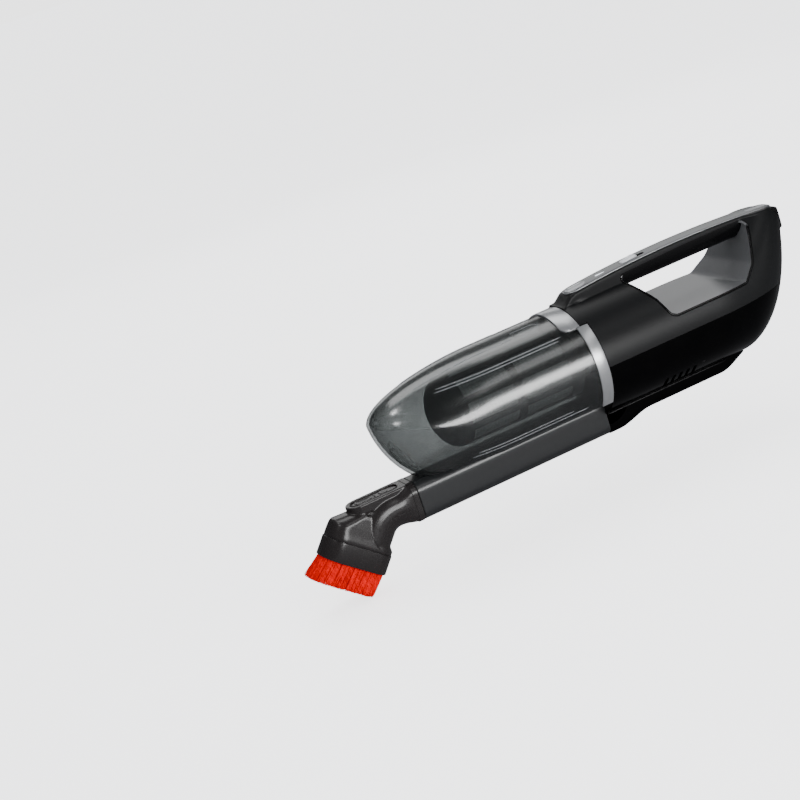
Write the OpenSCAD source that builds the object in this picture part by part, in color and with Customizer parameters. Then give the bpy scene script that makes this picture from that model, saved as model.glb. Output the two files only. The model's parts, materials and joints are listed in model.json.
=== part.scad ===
// Handheld cordless vacuum with a slide-off dust bin and a pull-off dusting brush.
// Design axes: X runs along the barrel with the nose at -X, Y is the width, Z is up.
// Design zero is on the ring plane, where the bin meets the body, at the tube's underside.

/* [Barrel] */
// Radius of the round motor body
barrel_r = 57; // [54:0.5:60]
// Height of the barrel axis above the tube's underside
axis_z = 75.5; // [74:0.5:78]
// Length of the body behind the ring plane
body_len = 242; // [240:1:250]
// Wall thickness of the moulded shells
wall = 2.4; // [2:0.1:3]

/* [Handle] */
// Highest point of the handle's spine
spine_top = 148.5; // [146:0.5:152]
// Half width of the spine
spine_hw = 12; // [11:0.5:14]
// Floor height of the finger opening
floor_z = 95; // [94:0.5:97]
// Underside height of the grip
grip_z = 126; // [124:0.5:128]
// Thickness of the opening's liner
liner_t = 2.2; // [1.6:0.1:2.6]

/* [Dust bin] */
// Length of the bin ahead of the ring plane
bin_len = 222; // [216:1:226]
// Height of the prow's tip
prow_z = 98; // [92:0.5:100]
// Outer radius of the bin
bin_r = 56; // [54:0.5:56.5]
// Wall thickness of the clear bin
bin_wall = 2.2; // [1.8:0.1:2.6]

/* [Inlet tube] */
// Width of the tube
tube_w = 38; // [36:0.5:40]
// Height of the tube
tube_h = 38; // [37.5:0.1:38.3]
// Radius of the air bore
tube_bore_r = 13.5; // [13:0.1:14]
// Length of the tube ahead of the ring plane
tube_len = 203; // [198:1:206]

/* [Brush tool] */
// Angle of the brush below the tube
brush_tilt = 50; // [46:1:52]
// Width of the brush skirt across the vacuum
skirt_w = 39; // [38:0.5:41]
// Length of the brush skirt fore and aft
skirt_d = 68; // [64:1:70]
// Height of the brush skirt
skirt_h = 19; // [18:0.5:21]
// Free length of the bristles
bristle_len = 23.5; // [20:0.5:26]

/* [Hidden] */
$fn = 64;
eps = 0.05;
sections = 22;              // lengthwise stations of a lofted shell

// ---- body outline -------------------------------------------------------------------
tail_x = 165;               // where the rear of the barrel starts to sweep up
tail_z = 116;               // height at which the rear sweep turns vertical
tail_n = 1.7;               // fullness of the rear sweep
tab_x = -8;                 // front edge of the body's top tab and of its ring plane step
shoulder_x = 4;             // where the spine reaches its full height
blend = 9;                  // fillet between barrel and spine

function clamp01(t) = min(1, max(0, t));
function smooth(t) = let(u = clamp01(t)) u * u * (3 - 2 * u);
function smax(a, b, k) = (a + b + sqrt((a - b) * (a - b) + k * k)) / 2;
function spine_z(x) = spine_top - 6.5 * pow((x - 128) / 124, 2);
function body_top(x) = let(t = smooth((x - tab_x) / (shoulder_x - tab_x + 4)))
    (axis_z + barrel_r + 1) * (1 - t) + spine_z(x) * t - 8 * pow(clamp01((x - 228) / 16), 3);
function tail_u(x) = clamp01((x - tail_x) / (body_len - 4 - tail_x));
function body_bottom(x) = let(u = min(0.995, tail_u(x)))
    tail_z - (tail_z - axis_z + barrel_r) * pow(1 - pow(u, tail_n), 1 / tail_n);
function body_mid(x) = axis_z + (tail_z + 12 - axis_z) * pow(tail_u(x), 2.2);
function body_hw(x) = let(u = clamp01((x - 130) / (body_len - 130)))
    12 + (barrel_r - 12) * pow(1 - u * u, 0.8);
function crown(x) = barrel_r + (body_top(x) - body_mid(x) - barrel_r) * pow(tail_u(x), 1.5);
function side(x, z, t) = let(mid = body_mid(x), w = body_hw(x) - t,
        r = z < mid ? mid - body_bottom(x) - t : crown(x) - t,
        oval = w * sqrt(max(0, 1 - pow((z - mid) / r, 2))))
    z < mid ? oval : smax(oval, (spine_hw - t) * smooth((z - mid) / 30), blend * smooth((z - mid) / 30));

// Heights of the points up one side of a section: below the middle, round the crown, up the spine
low_steps = 8;
crown_steps = 9;
spine_steps = 6;
crown_turn = 74;
function body_levels(x, t) = let(mid = body_mid(x), low = body_bottom(x) + t, high = body_top(x) - t,
        neck = mid + (crown(x) - t) * sin(crown_turn))
    concat([for (k = [0:low_steps - 1]) mid - (mid - low) * cos(90 * k / low_steps)],
        [for (k = [0:crown_steps]) mid + (crown(x) - t) * sin(crown_turn * k / crown_steps)],
        [for (k = [1:spine_steps]) neck + (high - neck) * k / spine_steps]);

// One closed section of the body at station x, drawn in by t
function body_ring(x, t) = let(zs = body_levels(x, t), n = len(zs))
    [for (s = [-1, 1]) for (i = [0:n - 1]) let(z = zs[s < 0 ? i : n - 1 - i])
        [x, s * max(0.4, side(x, z, t)), z]];

function loft_faces(m, n) = concat(
    [[for (j = [n - 1:-1:0]) j]],
    [for (i = [0:m - 2]) for (j = [0:n - 1])
        [i * n + j, i * n + (j + 1) % n, (i + 1) * n + (j + 1) % n, (i + 1) * n + j]],
    [[for (j = [0:n - 1]) (m - 1) * n + j]]);

module loft(rings) {
    n = len(rings[0]);
    polyhedron([for (r = rings) each r], loft_faces(len(rings), n), convexity = 8);
}

module body_solid(t = 0, x0 = 0, x1 = body_len) {
    front = [0, 3, 6, 9, 13];
    loft(concat([for (d = front) body_ring(x0 + d, t)],
        [for (i = [1:sections])
            body_ring(x0 + 13 + (x1 - x0 - 13) * pow(i / sections, 0.85), t)]));
}

// ---- finger opening -----------------------------------------------------------------
module opening_outline(grow = 0) {
    r = 8;
    offset(r = r + grow, $fn = 48) offset(delta = -r)
        polygon([[86, floor_z], [166, floor_z], [182, floor_z + 16], [194, grip_z + 13],
            [178, grip_z + 2], [158, grip_z], [92, grip_z + 1], [60, grip_z + 9]]);
}

module across(w) { rotate([90, 0, 0]) linear_extrude(w, center = true) children(); }
module along_x(x0, len) { translate([x0, 0, 0]) rotate([90, 0, 90]) linear_extrude(len) children(); }
module x_rod(x0, len, r, z) { translate([x0, 0, z]) rotate([0, 90, 0]) cylinder(r = r, h = len); }

// ---- control strip ------------------------------------------------------------------
strip_x = [4, 239];
strip_hw = 11;
strip_t = 1.8;
button_x = 16;
seat_z = 132.6;             // top of the web that the button's spring stands on
led_x = 45;
slider_x = 82;
inlay_x = 226;
slider_travel = 8;

module strip_band(low, high) {
    xs = [for (i = [0:12]) strip_x[0] - 2 + (strip_x[1] - strip_x[0] + 4) * i / 12];
    across(60) polygon(concat([for (x = xs) [x, spine_z(x) - low]],
        [for (i = [12:-1:0]) [xs[i], spine_z(xs[i]) + high]]));
}
module stadium(x, len, w, z0, h) {
    translate([x, 0, z0]) {
        for (s = [-1, 1]) translate([s * (len - w) / 2, 0, 0]) cylinder(d = w, h = h);
        translate([-(len - w) / 2, -w / 2, 0]) cube([len - w, w, h]);
    }
}

module strip_blank(grow = 0, low = strip_t) {
    mid = (strip_x[0] + strip_x[1]) / 2;
    intersection() {
        strip_band(low, 0.5);
        stadium(mid, strip_x[1] - strip_x[0] + 2 * grow, 2 * (strip_hw + grow), 120, 40);
    }
}

// ---- shells -------------------------------------------------------------------------
module front_step() {
    // below the top tab the shell starts at the ring plane
    translate([tab_x - 10, -80, 0]) cube([10 - tab_x, 160, axis_z + barrel_r * cos(plate_half - 1)]);
    x_rod(tab_x - 1, 1 - tab_x + 0.2, bin_r + 0.15, axis_z);
}

// resize by nothing joins the shells' many cuts into one body
module shell_hollow() {
    resize([0, 0, 0]) difference() {
        body_solid(0, tab_x);
        body_solid(wall, tab_x - 1, body_len - wall - 1);
        front_step();
        across(160) opening_outline(liner_t);
        strip_blank(0.1);
        stadium(slider_x, 34, 12, spine_z(slider_x) - 8, 12);
        stadium(button_x, 23.4, 14.4, spine_z(button_x) - 9, 20);
        socket_body(0.1, 30);
    }
}

module upper_shell() {
    color("#17181a") resize([0, 0, 0]) union() {
        intersection() {
            shell_hollow();
            translate([-50, -100, axis_z]) cube([400, 200, 200]);
        }
        intersection() {
            translate([6, -14, seat_z - 1.4]) cube([20, 28, 1.4]);
            body_solid(wall - 0.5, tab_x);
        }
    }
}

vent_x = 58;
vent_len = 40;
vent_turn = 38;             // how far round from the bottom the vents lie, in degrees
module vents() {
    for (s = [-1, 1]) for (i = [0:4])
        translate([vent_x + 2 + i * 8, 0, axis_z]) rotate([s * vent_turn, 0, 0])
            translate([0, -9, -barrel_r - 5]) cube([4, 18, 10]);
}

screw_spots = [[14, -34], [14, 34], [104, -40], [104, 40], [196, -14], [196, 14]];
boss_r = 3.6;
screw_r = 1.5;
module lower_shell() {
    color("#08090a") resize([0, 0, 0]) difference() {
        union() {
            intersection() {
                shell_hollow();
                translate([-50, -100, -20]) cube([400, 200, axis_z + 20]);
            }
            intersection() {
                for (p = screw_spots) translate([p[0], p[1], 0]) cylinder(r = boss_r, h = axis_z, $fn = 20);
                body_solid(wall - 0.4, 1, body_len - wall);
            }
        }
        for (p = screw_spots) translate([p[0], p[1], -1]) {
            cylinder(r = screw_r + 0.1, h = 90, $fn = 20);
            cylinder(r = 2.8, h = body_bottom(p[0]) + screw_head_z(p) + 1, $fn = 20);
        }
        duct_slot(0.1);
        vents();
    }
}

function screw_head_z(p) = barrel_r - sqrt(barrel_r * barrel_r - p[1] * p[1]) + 4;
module shell_screws() {
    color("#8d9094") for (p = screw_spots) {
        z = body_bottom(p[0]) + screw_head_z(p);
        translate([p[0], p[1], z]) {
            difference() {
                translate([0, 0, -2]) cylinder(r = 2.6, h = 2);
                translate([0, 0, -2.5]) cylinder(r = 1.2, h = 1.5, $fn = 6);
            }
            cylinder(r = screw_r, h = axis_z - z - 2);
        }
    }
}

keel_z = 8;
keel_hw = 18.5;
module keel_cover() {
    color("#0c0d0e") difference() {
        intersection() {
            across(2 * keel_hw) polygon([[0.6, 0], [15, 0], [24, 1.6], [40, keel_z - 0.9], [50, keel_z],
                [136, keel_z], [150, 10.5], [163, 16], [166, 24], [0.6, 24]]);
            along_x(0, 170) translate([-keel_hw, 0]) rounded_rect(2 * keel_hw, 30, 6);
        }
        x_rod(-1, 200, barrel_r + eps, axis_z);
        duct_slot(0.1);
        x_rod(-1, 7, 15.5, 19);
        translate([foot_x, 0, 0]) cylinder(r = 7.1, h = keel_z + 1);
    }
}
module rounded_rect(w, h, r) {
    for (x = [r, w - r], y = [r, h - r]) translate([x, y]) circle(r);
    translate([r, 0]) square([w - 2 * r, h]);
    translate([0, r]) square([w, h - 2 * r]);
}

foot_x = 122;
foot_z = 6.5;
module rear_foot() {
    color("#202224") translate([foot_x, 0, foot_z]) {
        cylinder(r = 7, h = 2.5);
        cylinder(r = 4, h = 2.5);
    }
}

module finger_liner() {
    color("#8b8e90") resize([0, 0, 0]) intersection() {
        across(130) difference() {
            opening_outline(liner_t - 0.05);
            opening_outline(0);
        }
        body_solid(0, tab_x);
    }
}

module control_strip() {
    color("#8f9496") difference() {
        strip_blank();
        stadium(button_x, 23, 14.2, 120, 40);
        stadium(slider_x, 27.6, 7.6, 120, 40);
        stadium(led_x, 11.1, 3.1, 120, 40);
        stadium(inlay_x, 22.1, 11.1, 120, 40);
    }
}
module led_lens() {
    color("#eef4f6") stadium(led_x, 11, 3, spine_z(led_x) - strip_t + 0.4, strip_t + 0.3);
}
module rear_inlay() {
    color("#c9cccd") intersection() {
        strip_band(strip_t, 0.9);
        stadium(inlay_x, 22, 11, 120, 40);
    }
}

cap_proud = 2;
module rear_cap() {
    color("#121314") difference() {
        translate([body_len - 6, 0, tail_z + 3]) {
            translate([0, -9, 0]) cube([8, 18, 22]);
            for (s = [-1, 1]) translate([0, s * 9, 0]) cylinder(r = 2, h = 22);
            for (s = [-1, 1]) translate([6, s * 9, 0]) cylinder(r = 2, h = 22);
            translate([0, -11, 0]) cube([6, 22, 22]);
        }
        resize([0, 0, 0]) body_solid(-0.05, tab_x);
    }
}

// ---- inlet tube, duct and bulkhead ----------------------------------------------------
bore_z = 19;
latch_hw = 5;
module tube_section() {
    translate([-tube_w / 2, 0]) intersection() {
        rounded_rect(tube_w, tube_h + 8, 9);
        square([tube_w, tube_h]);
    }
}
// The cutters that bevel the shoulders beside the tube's flat top
module tube_shoulders(x0, len) {
    for (s = [-1, 1]) translate([x0 - 1, s * (tube_w / 2 - 2.2), tube_h + 2.2])
        rotate([s * 45, 0, 0]) translate([0, -8, -4]) cube([len + 2, 16, 8]);
}
module inlet_tube() {
    color("#3a3d40") difference() {
        along_x(-tube_len, tube_len + 0.6) tube_section();
        tube_shoulders(-tube_len, tube_len);
        x_rod(-tube_len - 1, tube_len + 3, tube_bore_r, bore_z);
    }
}

duct_w = 34;
duct_t = 1.5;
turn_r = 16;                // mean radius of the turn
duct_hi_z = bore_z + 2 * turn_r;
module duct_bend(grow) {
    translate([4, 0, bore_z + turn_r]) rotate([90, 0, 0]) rotate([0, 0, -90]) rotate_extrude(angle = 180)
        translate([turn_r - 7.5 - grow, -duct_w / 2 - grow]) square([15 + 2 * grow, duct_w + 2 * grow]);
    for (z = [bore_z, duct_hi_z]) translate([-0.5, -duct_w / 2 - grow, z - 7.5 - grow])
        cube([4.6, duct_w + 2 * grow, 15 + 2 * grow]);
}
module duct_slot(clear) { duct_bend(duct_t + clear); }
module duct_elbow() {
    color("#2b2d2f") difference() {
        intersection() {
            duct_bend(duct_t);
            translate([0.6, -50, 0]) cube([60, 100, 90]);
        }
        translate([-1, 0, 0]) duct_bend(0);
        duct_bend(0);
    }
}

cage_z = 82;
cage_r = 35;
cage_front = -163;
neck_r = 22;
module front_bulkhead() {
    color("#2e3032") difference() {
        x_rod(0.6, 3, barrel_r - wall - 0.4, axis_z);
        duct_bend(duct_t + 0.1);
        x_rod(0, 5, neck_r + 0.1, cage_z);
    }
}

// ---- filter ---------------------------------------------------------------------------
window_rows = 8;
module cage_profile(r, nose) {
    polygon(concat([[0, cage_front + nose]],
        [for (a = [15:15:90]) [r * sin(a), cage_front + nose + 22 * (1 - cos(a))]],
        [[r, -16], [neck_r, -8], [neck_r, 3.4], [0, 3.4]]));
}
module cage_turned() { translate([0, 0, cage_z]) rotate([0, 90, 0]) rotate_extrude() children(); }
module filter_cage() {
    color("#333638") difference() {
        cage_turned() cage_profile(cage_r, 0);
        translate([eps, 0, 0]) cage_turned() difference() {
            cage_profile(cage_r - 2, 2);
            translate([neck_r - 2, -30]) square([10, 40]);
        }
        x_rod(-31, 40, neck_r - 2, cage_z);
        for (i = [0:window_rows - 1]) for (x = [-136, -78])
            translate([0, 0, cage_z]) rotate([i * 360 / window_rows, 0, 0])
                translate([x, -10, cage_r - 6]) cube([50, 20, 12]);
    }
}
module filter_mesh() {
    color("#565c5c") difference() {
        x_rod(-138, 116, cage_r - 2.1, cage_z);
        x_rod(-139, 118, cage_r - 2.5, cage_z);
    }
}
pleats = 40;
module pleated_filter() {
    color("#d9d6cb") difference() {
        translate([-134, 0, cage_z]) rotate([90, 0, 90]) linear_extrude(102)
            polygon([for (i = [0:2 * pleats - 1]) let(r = i % 2 == 0 ? 30 : 22, a = 180 * i / pleats)
                [r * cos(a), r * sin(a)]]);
        x_rod(-135, 110, 16, cage_z);
    }
}

// ---- motor ----------------------------------------------------------------------------
motor_z = 70;
motor_r = 20;
motor_x = [54, 92];
shaft_r = 2.5;
fan_r = 30;
module fan_housing() {
    color("#3c3f42") difference() {
        union() {
            x_rod(36, 2, barrel_r - wall - 0.4, axis_z);
            x_rod(37, 15, fan_r + 4, motor_z);
        }
        x_rod(38, 15, fan_r + 2, motor_z);
        x_rod(35, 5, 16, motor_z);
        opening_block();
    }
}
module opening_block() { translate([34, -40, 112]) cube([30, 80, 40]); }

blades = 9;
module impeller() {
    color("#a7abad") difference() {
        union() {
            x_rod(48, 1.6, fan_r, motor_z);
            x_rod(41, 8, 7, motor_z);
            for (i = [0:blades - 1]) translate([0, 0, motor_z]) rotate([i * 360 / blades, 0, 0])
                translate([41, 0, 6]) rotate([24, 0, 0]) translate([0, -0.6, 0]) cube([7.2, 1.2, 21.5]);
        }
        x_rod(40, 12, shaft_r, motor_z);
    }
}
module rotor_shaft() { color("#b9bcbe") x_rod(42, 52, shaft_r, motor_z); }
module rotor_magnet() {
    color("#5b5e62") difference() {
        x_rod(63, 20, 10.2, motor_z);
        x_rod(62, 22, shaft_r, motor_z);
    }
}
module motor_can() {
    color("#74787c") difference() {
        x_rod(motor_x[0], motor_x[1] - motor_x[0], motor_r, motor_z);
        x_rod(motor_x[0] + 1.6, motor_x[1] - motor_x[0] - 3.2, motor_r - 1.6, motor_z);
        x_rod(motor_x[0] - 1, 50, 6.05, motor_z);
        for (i = [0:5]) translate([0, 0, motor_z]) rotate([i * 60, 0, 0])
            translate([motor_x[0] - 1, 0, 12.5]) rotate([0, 90, 0]) cylinder(r = 3, h = 6);
    }
}
module stator() {
    color("#7d4a2c") difference() {
        x_rod(62, 22, motor_r - 1.65, motor_z);
        x_rod(61, 24, 10.9, motor_z);
        for (i = [0:5]) translate([61, 0, motor_z]) rotate([i * 60, 0, 0])
            translate([0, -1, 8]) cube([24, 2, 7]);
    }
}
module motor_bearings() {
    color("#c3c6c8") for (x = [53.8, 88]) difference() {
        x_rod(x, 4, 6, motor_z);
        x_rod(x - 1, 6, shaft_r + 0.02, motor_z);
    }
}
module motor_mounts() {
    color("#1d1e1f") for (x = [57, 78]) difference() {
        x_rod(x, 5, motor_r + 2.6, motor_z);
        x_rod(x - 1, 7, motor_r + 0.02, motor_z);
    }
}

// ---- electrics ------------------------------------------------------------------------
cell_r = 9.2;
cell_len = 65;
cell_spots = [[116, 44], [136, 44], [156, 44], [126, 62], [146, 62]];
module battery_cells() {
    color("#2f6f9e") for (c = cell_spots) translate([c[0], 0, c[1]]) rotate([90, 0, 0]) {
        cylinder(r = cell_r, h = cell_len - 2, center = true);
        cylinder(r = 4, h = cell_len, center = true);
    }
}
module battery_holder() {
    color("#44474a") for (y = [-24, 24]) difference() {
        translate([104, y - 1.5, 32]) cube([64, 3, 42]);
        for (c = cell_spots) translate([c[0], 0, c[1]]) rotate([90, 0, 0])
            cylinder(r = cell_r + 0.1, h = 100, center = true);
    }
}
module circuit_board() {
    color("#1f6b3a") translate([108, -24, 78]) cube([58, 48, 1.6]);
    color("#26282a") for (p = [[116, -14, 8], [134, 6, 12], [152, -8, 9]])
        translate([p[0], p[1], 79.6]) cube([p[2], p[2], 3]);
}

socket_z = 92;
socket_len = 22;
module socket_body(grow = 0, beyond = 0) {
    x_rod(socket_x() - socket_len, socket_len + beyond, 5.5 + grow, socket_z);
}
function socket_x() = tail_x + (body_len - 4 - tail_x)
    * pow(1 - pow((tail_z - socket_z) / (tail_z - axis_z + barrel_r), tail_n), 1 / tail_n) + 0.6;
jack_r = 2.75;
jack_len = 10;
module charge_socket() {
    color("#18191b") difference() {
        socket_body();
        x_rod(socket_x() - jack_len, jack_len + 2, jack_r, socket_z);
    }
}
module switch_module() {
    color("#22415c") translate([slider_x - 13, -5, spine_z(slider_x) - 8]) cube([26, 10, 3]);
}
module power_slider() {
    z = spine_z(slider_x);
    color("#b4b8ba") {
        stadium(slider_x - slider_travel / 2, 19, 7, z - 4.4, 5.8);
        stadium(slider_x - slider_travel / 2, 17, 9.6, z + 1.3, 1.4);
        for (i = [-2:2]) translate([slider_x - slider_travel / 2 + i * 2.4 - 0.5, -4, z + 2.6])
            cube([1, 8, 0.8]);
    }
}
module release_button() {
    z = spine_z(button_x);
    color("#c6c9ca") {
        stadium(button_x, 22.4, 13.6, z - 1.8, 3.2);
        stadium(button_x, 14, 6, z - 6, 4.4);
    }
}
module helix(r, wire, turns, h) {
    sides = 8;
    steps = 14;
    n = round(turns * steps);
    loft([for (i = [0:n]) let(a = i * 360 / steps)
        [for (j = [0:sides - 1]) let(b = -j * 360 / sides)
            [(r + wire * cos(b)) * cos(a), (r + wire * cos(b)) * sin(a), i * h / n + wire * sin(b)]]]);
}
spring_wire = 0.4;
module button_spring() {
    color("#9fa3a6") translate([button_x, 0, seat_z + 0.45]) helix(2.4, spring_wire, 2.5, 3.4);
}
module exhaust_filter() {
    color("#3b3e40") for (s = [0, 1]) mirror([0, s, 0])
        translate([vent_x, 0, axis_z]) rotate([0, 90, 0]) rotate([0, 0, 18]) rotate_extrude(angle = 40)
            translate([barrel_r - wall - 3.2, 0]) square([2.8, vent_len]);
}

// ---- dust bin ---------------------------------------------------------------------------
nose_x = 100;               // how far ahead of the ring the nose starts to narrow
bin_floor = tube_h + 0.6;
function bin_u(x, from, len) = clamp01((-x - from) / (len - from));
function bin_crease(x) = axis_z + (prow_z - axis_z) * smooth((-x - 120) / 110);
function bin_up(x, len, r) = let(u = bin_u(x, nose_x, len))
    (axis_z + r - prow_z) * pow(1 - pow(u, 2), 1 / 2) + prow_z - bin_crease(x);
function bin_down(x, len, r) = let(u = bin_u(x, len - 66, len))
    bin_crease(x) - (prow_z - (prow_z - axis_z + r) * pow(1 - pow(u, 1.8), 1 / 1.8));
function bin_half(x, len, r) = let(u = bin_u(x, nose_x, len)) r * pow(1 - pow(u, 2.3), 1 / 2.3);
function bin_pow(x) = 1 + 0.55 * smooth((-x - 110) / 90);
bin_points = 40;
function bin_ring(x, len, r, low) =
    [for (j = [0:bin_points - 1]) let(a = 360 * (j + 0.5) / bin_points, lift = pow(abs(sin(a)), bin_pow(x)),
            z = bin_crease(x) + (sin(a) > 0 ? bin_up(x, len, r) : -bin_down(x, len, r)) * lift)
        [x, bin_half(x, len, r) * cos(a), max(low, z)]];
module bin_solid(x1, len, r, low) {
    rear = -nose_x + 20;
    xs = concat([x1, rear], [for (i = [1:17]) rear - (len + rear) * sin(89.2 * i / 17)]);
    loft([for (x = xs) bin_ring(x, len, r, low)]);
}
module bin_shell() {
    color("#6d7376", 0.45) resize([0, 0, 0]) difference() {
        bin_solid(-0.4, bin_len, bin_r, bin_floor);
        bin_solid(0.5, bin_len - 3, bin_r - bin_wall, bin_floor + bin_wall);
    }
}
module bin_seal() {
    color("#232526") difference() {
        x_rod(-3.4, 3, bin_r - bin_wall - 0.4, axis_z);
        x_rod(-4, 5, bin_r - bin_wall - 2.4, axis_z);
        translate([-10, -60, 0]) cube([20, 120, bin_floor + bin_wall + 0.1]);
    }
}
ring_w = 12;
plate_x = [-27, -8.4];
plate_half = 42;            // half angle that the top plate covers
ring_r = barrel_r + 0.4;
module trim_ring() {
    color("#c3c5c6") difference() {
        x_rod(-ring_w, ring_w - 0.4, ring_r, axis_z);
        x_rod(-ring_w - 1, ring_w + 2, bin_r + 0.1, axis_z);
        translate([-20, -70, 0]) cube([40, 140, bin_floor]);
        translate([0, 0, axis_z]) plate_wedge(0.4);
    }
}
module plate_wedge(grow) {
    a = plate_half + grow;
    rotate([90, 0, 90]) translate([0, 0, -40]) linear_extrude(60)
        polygon([[0, 0], [-90 * sin(a), 90 * cos(a)], [-90, 140], [90, 140], [90 * sin(a), 90 * cos(a)]]);
}
module top_plate() {
    color("#cfd1d2") intersection() {
        difference() {
            x_rod(plate_x[0], plate_x[1] - plate_x[0], ring_r + 0.2, axis_z);
            x_rod(plate_x[0] - 1, 40, bin_r + 0.1, axis_z);
        }
        translate([0, 0, axis_z]) plate_wedge(0);
    }
}

// ---- brush tool -------------------------------------------------------------------------
elbow_x = -238;             // where the tool's axes cross
skirt_shift = 12;           // how far the skirt's middle lies ahead of the pipe's axis
elbow_r = 26;
neck_x = -tube_len - 0.4;
pipe_r = 18.5;
spigot_r = tube_bore_r - 0.06;
spigot_len = 32;
throat = 33.6;                // from the axes' crossing to the skirt's top
brush_z = bore_z;
module brush_frame() { translate([elbow_x, 0, brush_z]) rotate([0, 180 + 90 - brush_tilt, 0]) children(); }

elbow_cut = elbow_r * tan(brush_tilt / 2);
module elbow_sweep(r) {
    translate([elbow_x + elbow_cut, 0, brush_z - elbow_r]) rotate([90, 0, 0]) rotate([0, 0, 90])
        rotate_extrude(angle = brush_tilt) translate([elbow_r, 0]) circle(r);
}
skirt_r = 17;
module skirt_outline(shrink = 0) {
    translate([skirt_shift - skirt_d / 2 + shrink, -skirt_w / 2 + shrink])
        rounded_rect(skirt_d - 2 * shrink, skirt_w - 2 * shrink, skirt_r - shrink);
}
module hood(shrink, low, high) {
    hull() {
        translate([0, 0, low]) cylinder(r = pipe_r - shrink, h = 0.5, $fn = 32);
        translate([-3, 0, throat - 11]) linear_extrude(1) skirt_outline(3.5 + shrink, $fn = 32);
        translate([0, 0, high - 3]) linear_extrude(3) skirt_outline(1 + shrink, $fn = 32);
        if (shrink == 0) rotate([0, brush_tilt - 270, 0]) translate([boss_x - elbow_x, 0, 25 - brush_z])
            cylinder(r = 9, h = 4, $fn = 32);
    }
}
lever_x = [-262, -216];
pin_x = -256;
boss_x = -250;
lever_z = 36.2;
module tool_body() {
    color("#322f2f") resize([0, 0, 0]) difference() {
        union() {
            along_x(elbow_x + elbow_cut, neck_x - elbow_x - elbow_cut) tube_section();
            x_rod(neck_x - 1, spigot_len + 1, spigot_r, bore_z);
            elbow_sweep(pipe_r);
            brush_frame() hood(0, elbow_cut - 1, throat);
            stadium((lever_x[0] + neck_x) / 2 - 5.5, neck_x - lever_x[0] + 1, 25, 28, tube_h - 28);
        }
        x_rod(elbow_x + elbow_cut - 1, 90, tube_bore_r - 2.35, bore_z);
        elbow_sweep(tube_bore_r - 2.4);
        brush_frame() translate([0, 0, elbow_cut - 1]) cylinder(r = tube_bore_r - 2.35, h = 10);
        brush_frame() hood(3, elbow_cut + 4, throat + 0.5);
        tube_shoulders(elbow_x + elbow_cut, neck_x - elbow_x + 20);
        translate([neck_x, -60, tube_h]) cube([100, 120, 50]);
        // well and slot for the latch lever
        stadium((lever_x[0] + lever_x[1]) / 2, lever_x[1] - lever_x[0] + 1.4, 13.4, lever_z - 3.4, 20);
        translate([lever_x[1] - 5, -latch_hw - 0.4, lever_z - 3.2]) cube([60, 2 * latch_hw + 0.8, 4.2]);
        translate([pin_x, 0, lever_z]) rotate([90, 0, 0]) cylinder(r = 1.25, h = 19, center = true);
    }
}
module latch_pin() {
    color("#a5a8aa") translate([pin_x, 0, lever_z]) rotate([90, 0, 0])
        cylinder(r = 1.2, h = 18.6, center = true);
}
tail_end = neck_x - 0.6;     // the latch's tail stops just inside the collar
module latch_lever() {
    color("#3a3737") difference() {
        union() {
            stadium((lever_x[0] + lever_x[1]) / 2, lever_x[1] - lever_x[0], 12, lever_z - 1.2, 2.4);
            stadium(boss_x, 18, 10, lever_z, 1.6);
            translate([-234, -5, lever_z]) cube([9, 10, 1.7]);
            translate([lever_x[1] - 8, -latch_hw, lever_z - 1.6])
                cube([tail_end - lever_x[1] + 8, 2 * latch_hw, 1.2]);
        }
        translate([pin_x, 0, lever_z]) rotate([90, 0, 0]) cylinder(r = 1.24, h = 40, center = true);
    }
}
module latch_spring() {
    color("#9fa3a6") translate([-240, 0, lever_z - 3]) helix(2.2, 0.25, 3, 1.4);
}
module brush_skirt() {
    color("#2a2829") brush_frame() difference() {
        translate([0, 0, throat + 0.2]) linear_extrude(skirt_h) skirt_outline();
        translate([0, 0, throat - 1]) linear_extrude(skirt_h + 4) skirt_outline(2.2);
    }
}
module bristle_plate() {
    color("#262425") brush_frame() difference() {
        translate([0, 0, throat + 6]) linear_extrude(4) skirt_outline(2.3);
        translate([0, 0, throat]) linear_extrude(20) skirt_outline(10);
    }
}
bristle_lean = 10.8;
tip_inset = 0.6;
module bristles() {
    color("#e0141a") brush_frame() resize([0, 0, 0]) difference() {
        union() {
            translate([0, 0, throat + 10.1]) linear_extrude(skirt_h - 10.1) skirt_outline(2.8, $fn = 32);
            hull() {
                translate([0, 0, throat + skirt_h - 0.5]) linear_extrude(1) skirt_outline(2.8, $fn = 32);
                translate([sin(bristle_lean) * bristle_len, 0, throat + skirt_h + bristle_len - 1])
                    linear_extrude(1) skirt_outline(tip_inset, $fn = 32);
            }
        }
        hull() {
            translate([0, 0, throat + 9]) linear_extrude(1) skirt_outline(9.6, $fn = 32);
            translate([sin(bristle_lean) * bristle_len, 0, throat + skirt_h + bristle_len + 1])
                linear_extrude(1) skirt_outline(9.6, $fn = 32);
        }
    }
}

// ---- placing ----------------------------------------------------------------------------
// The part stands with the middle of its box over the origin and its lowest point at zero.
module placed() { translate([-centre_x, 0, -lowest_z]) children(); }
tip_z = throat + skirt_h + bristle_len;
tip_lean = bristle_len * sin(bristle_lean);
tip_mid = skirt_shift + tip_lean;
lowest_z = brush_z - tip_z * sin(brush_tilt) + (tip_mid - skirt_d / 2 + tip_inset) * cos(brush_tilt);
front_x = elbow_x - tip_z * cos(brush_tilt) - (tip_mid + skirt_d / 2 - tip_inset) * sin(brush_tilt);
centre_x = (front_x + body_len + cap_proud) / 2;

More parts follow.
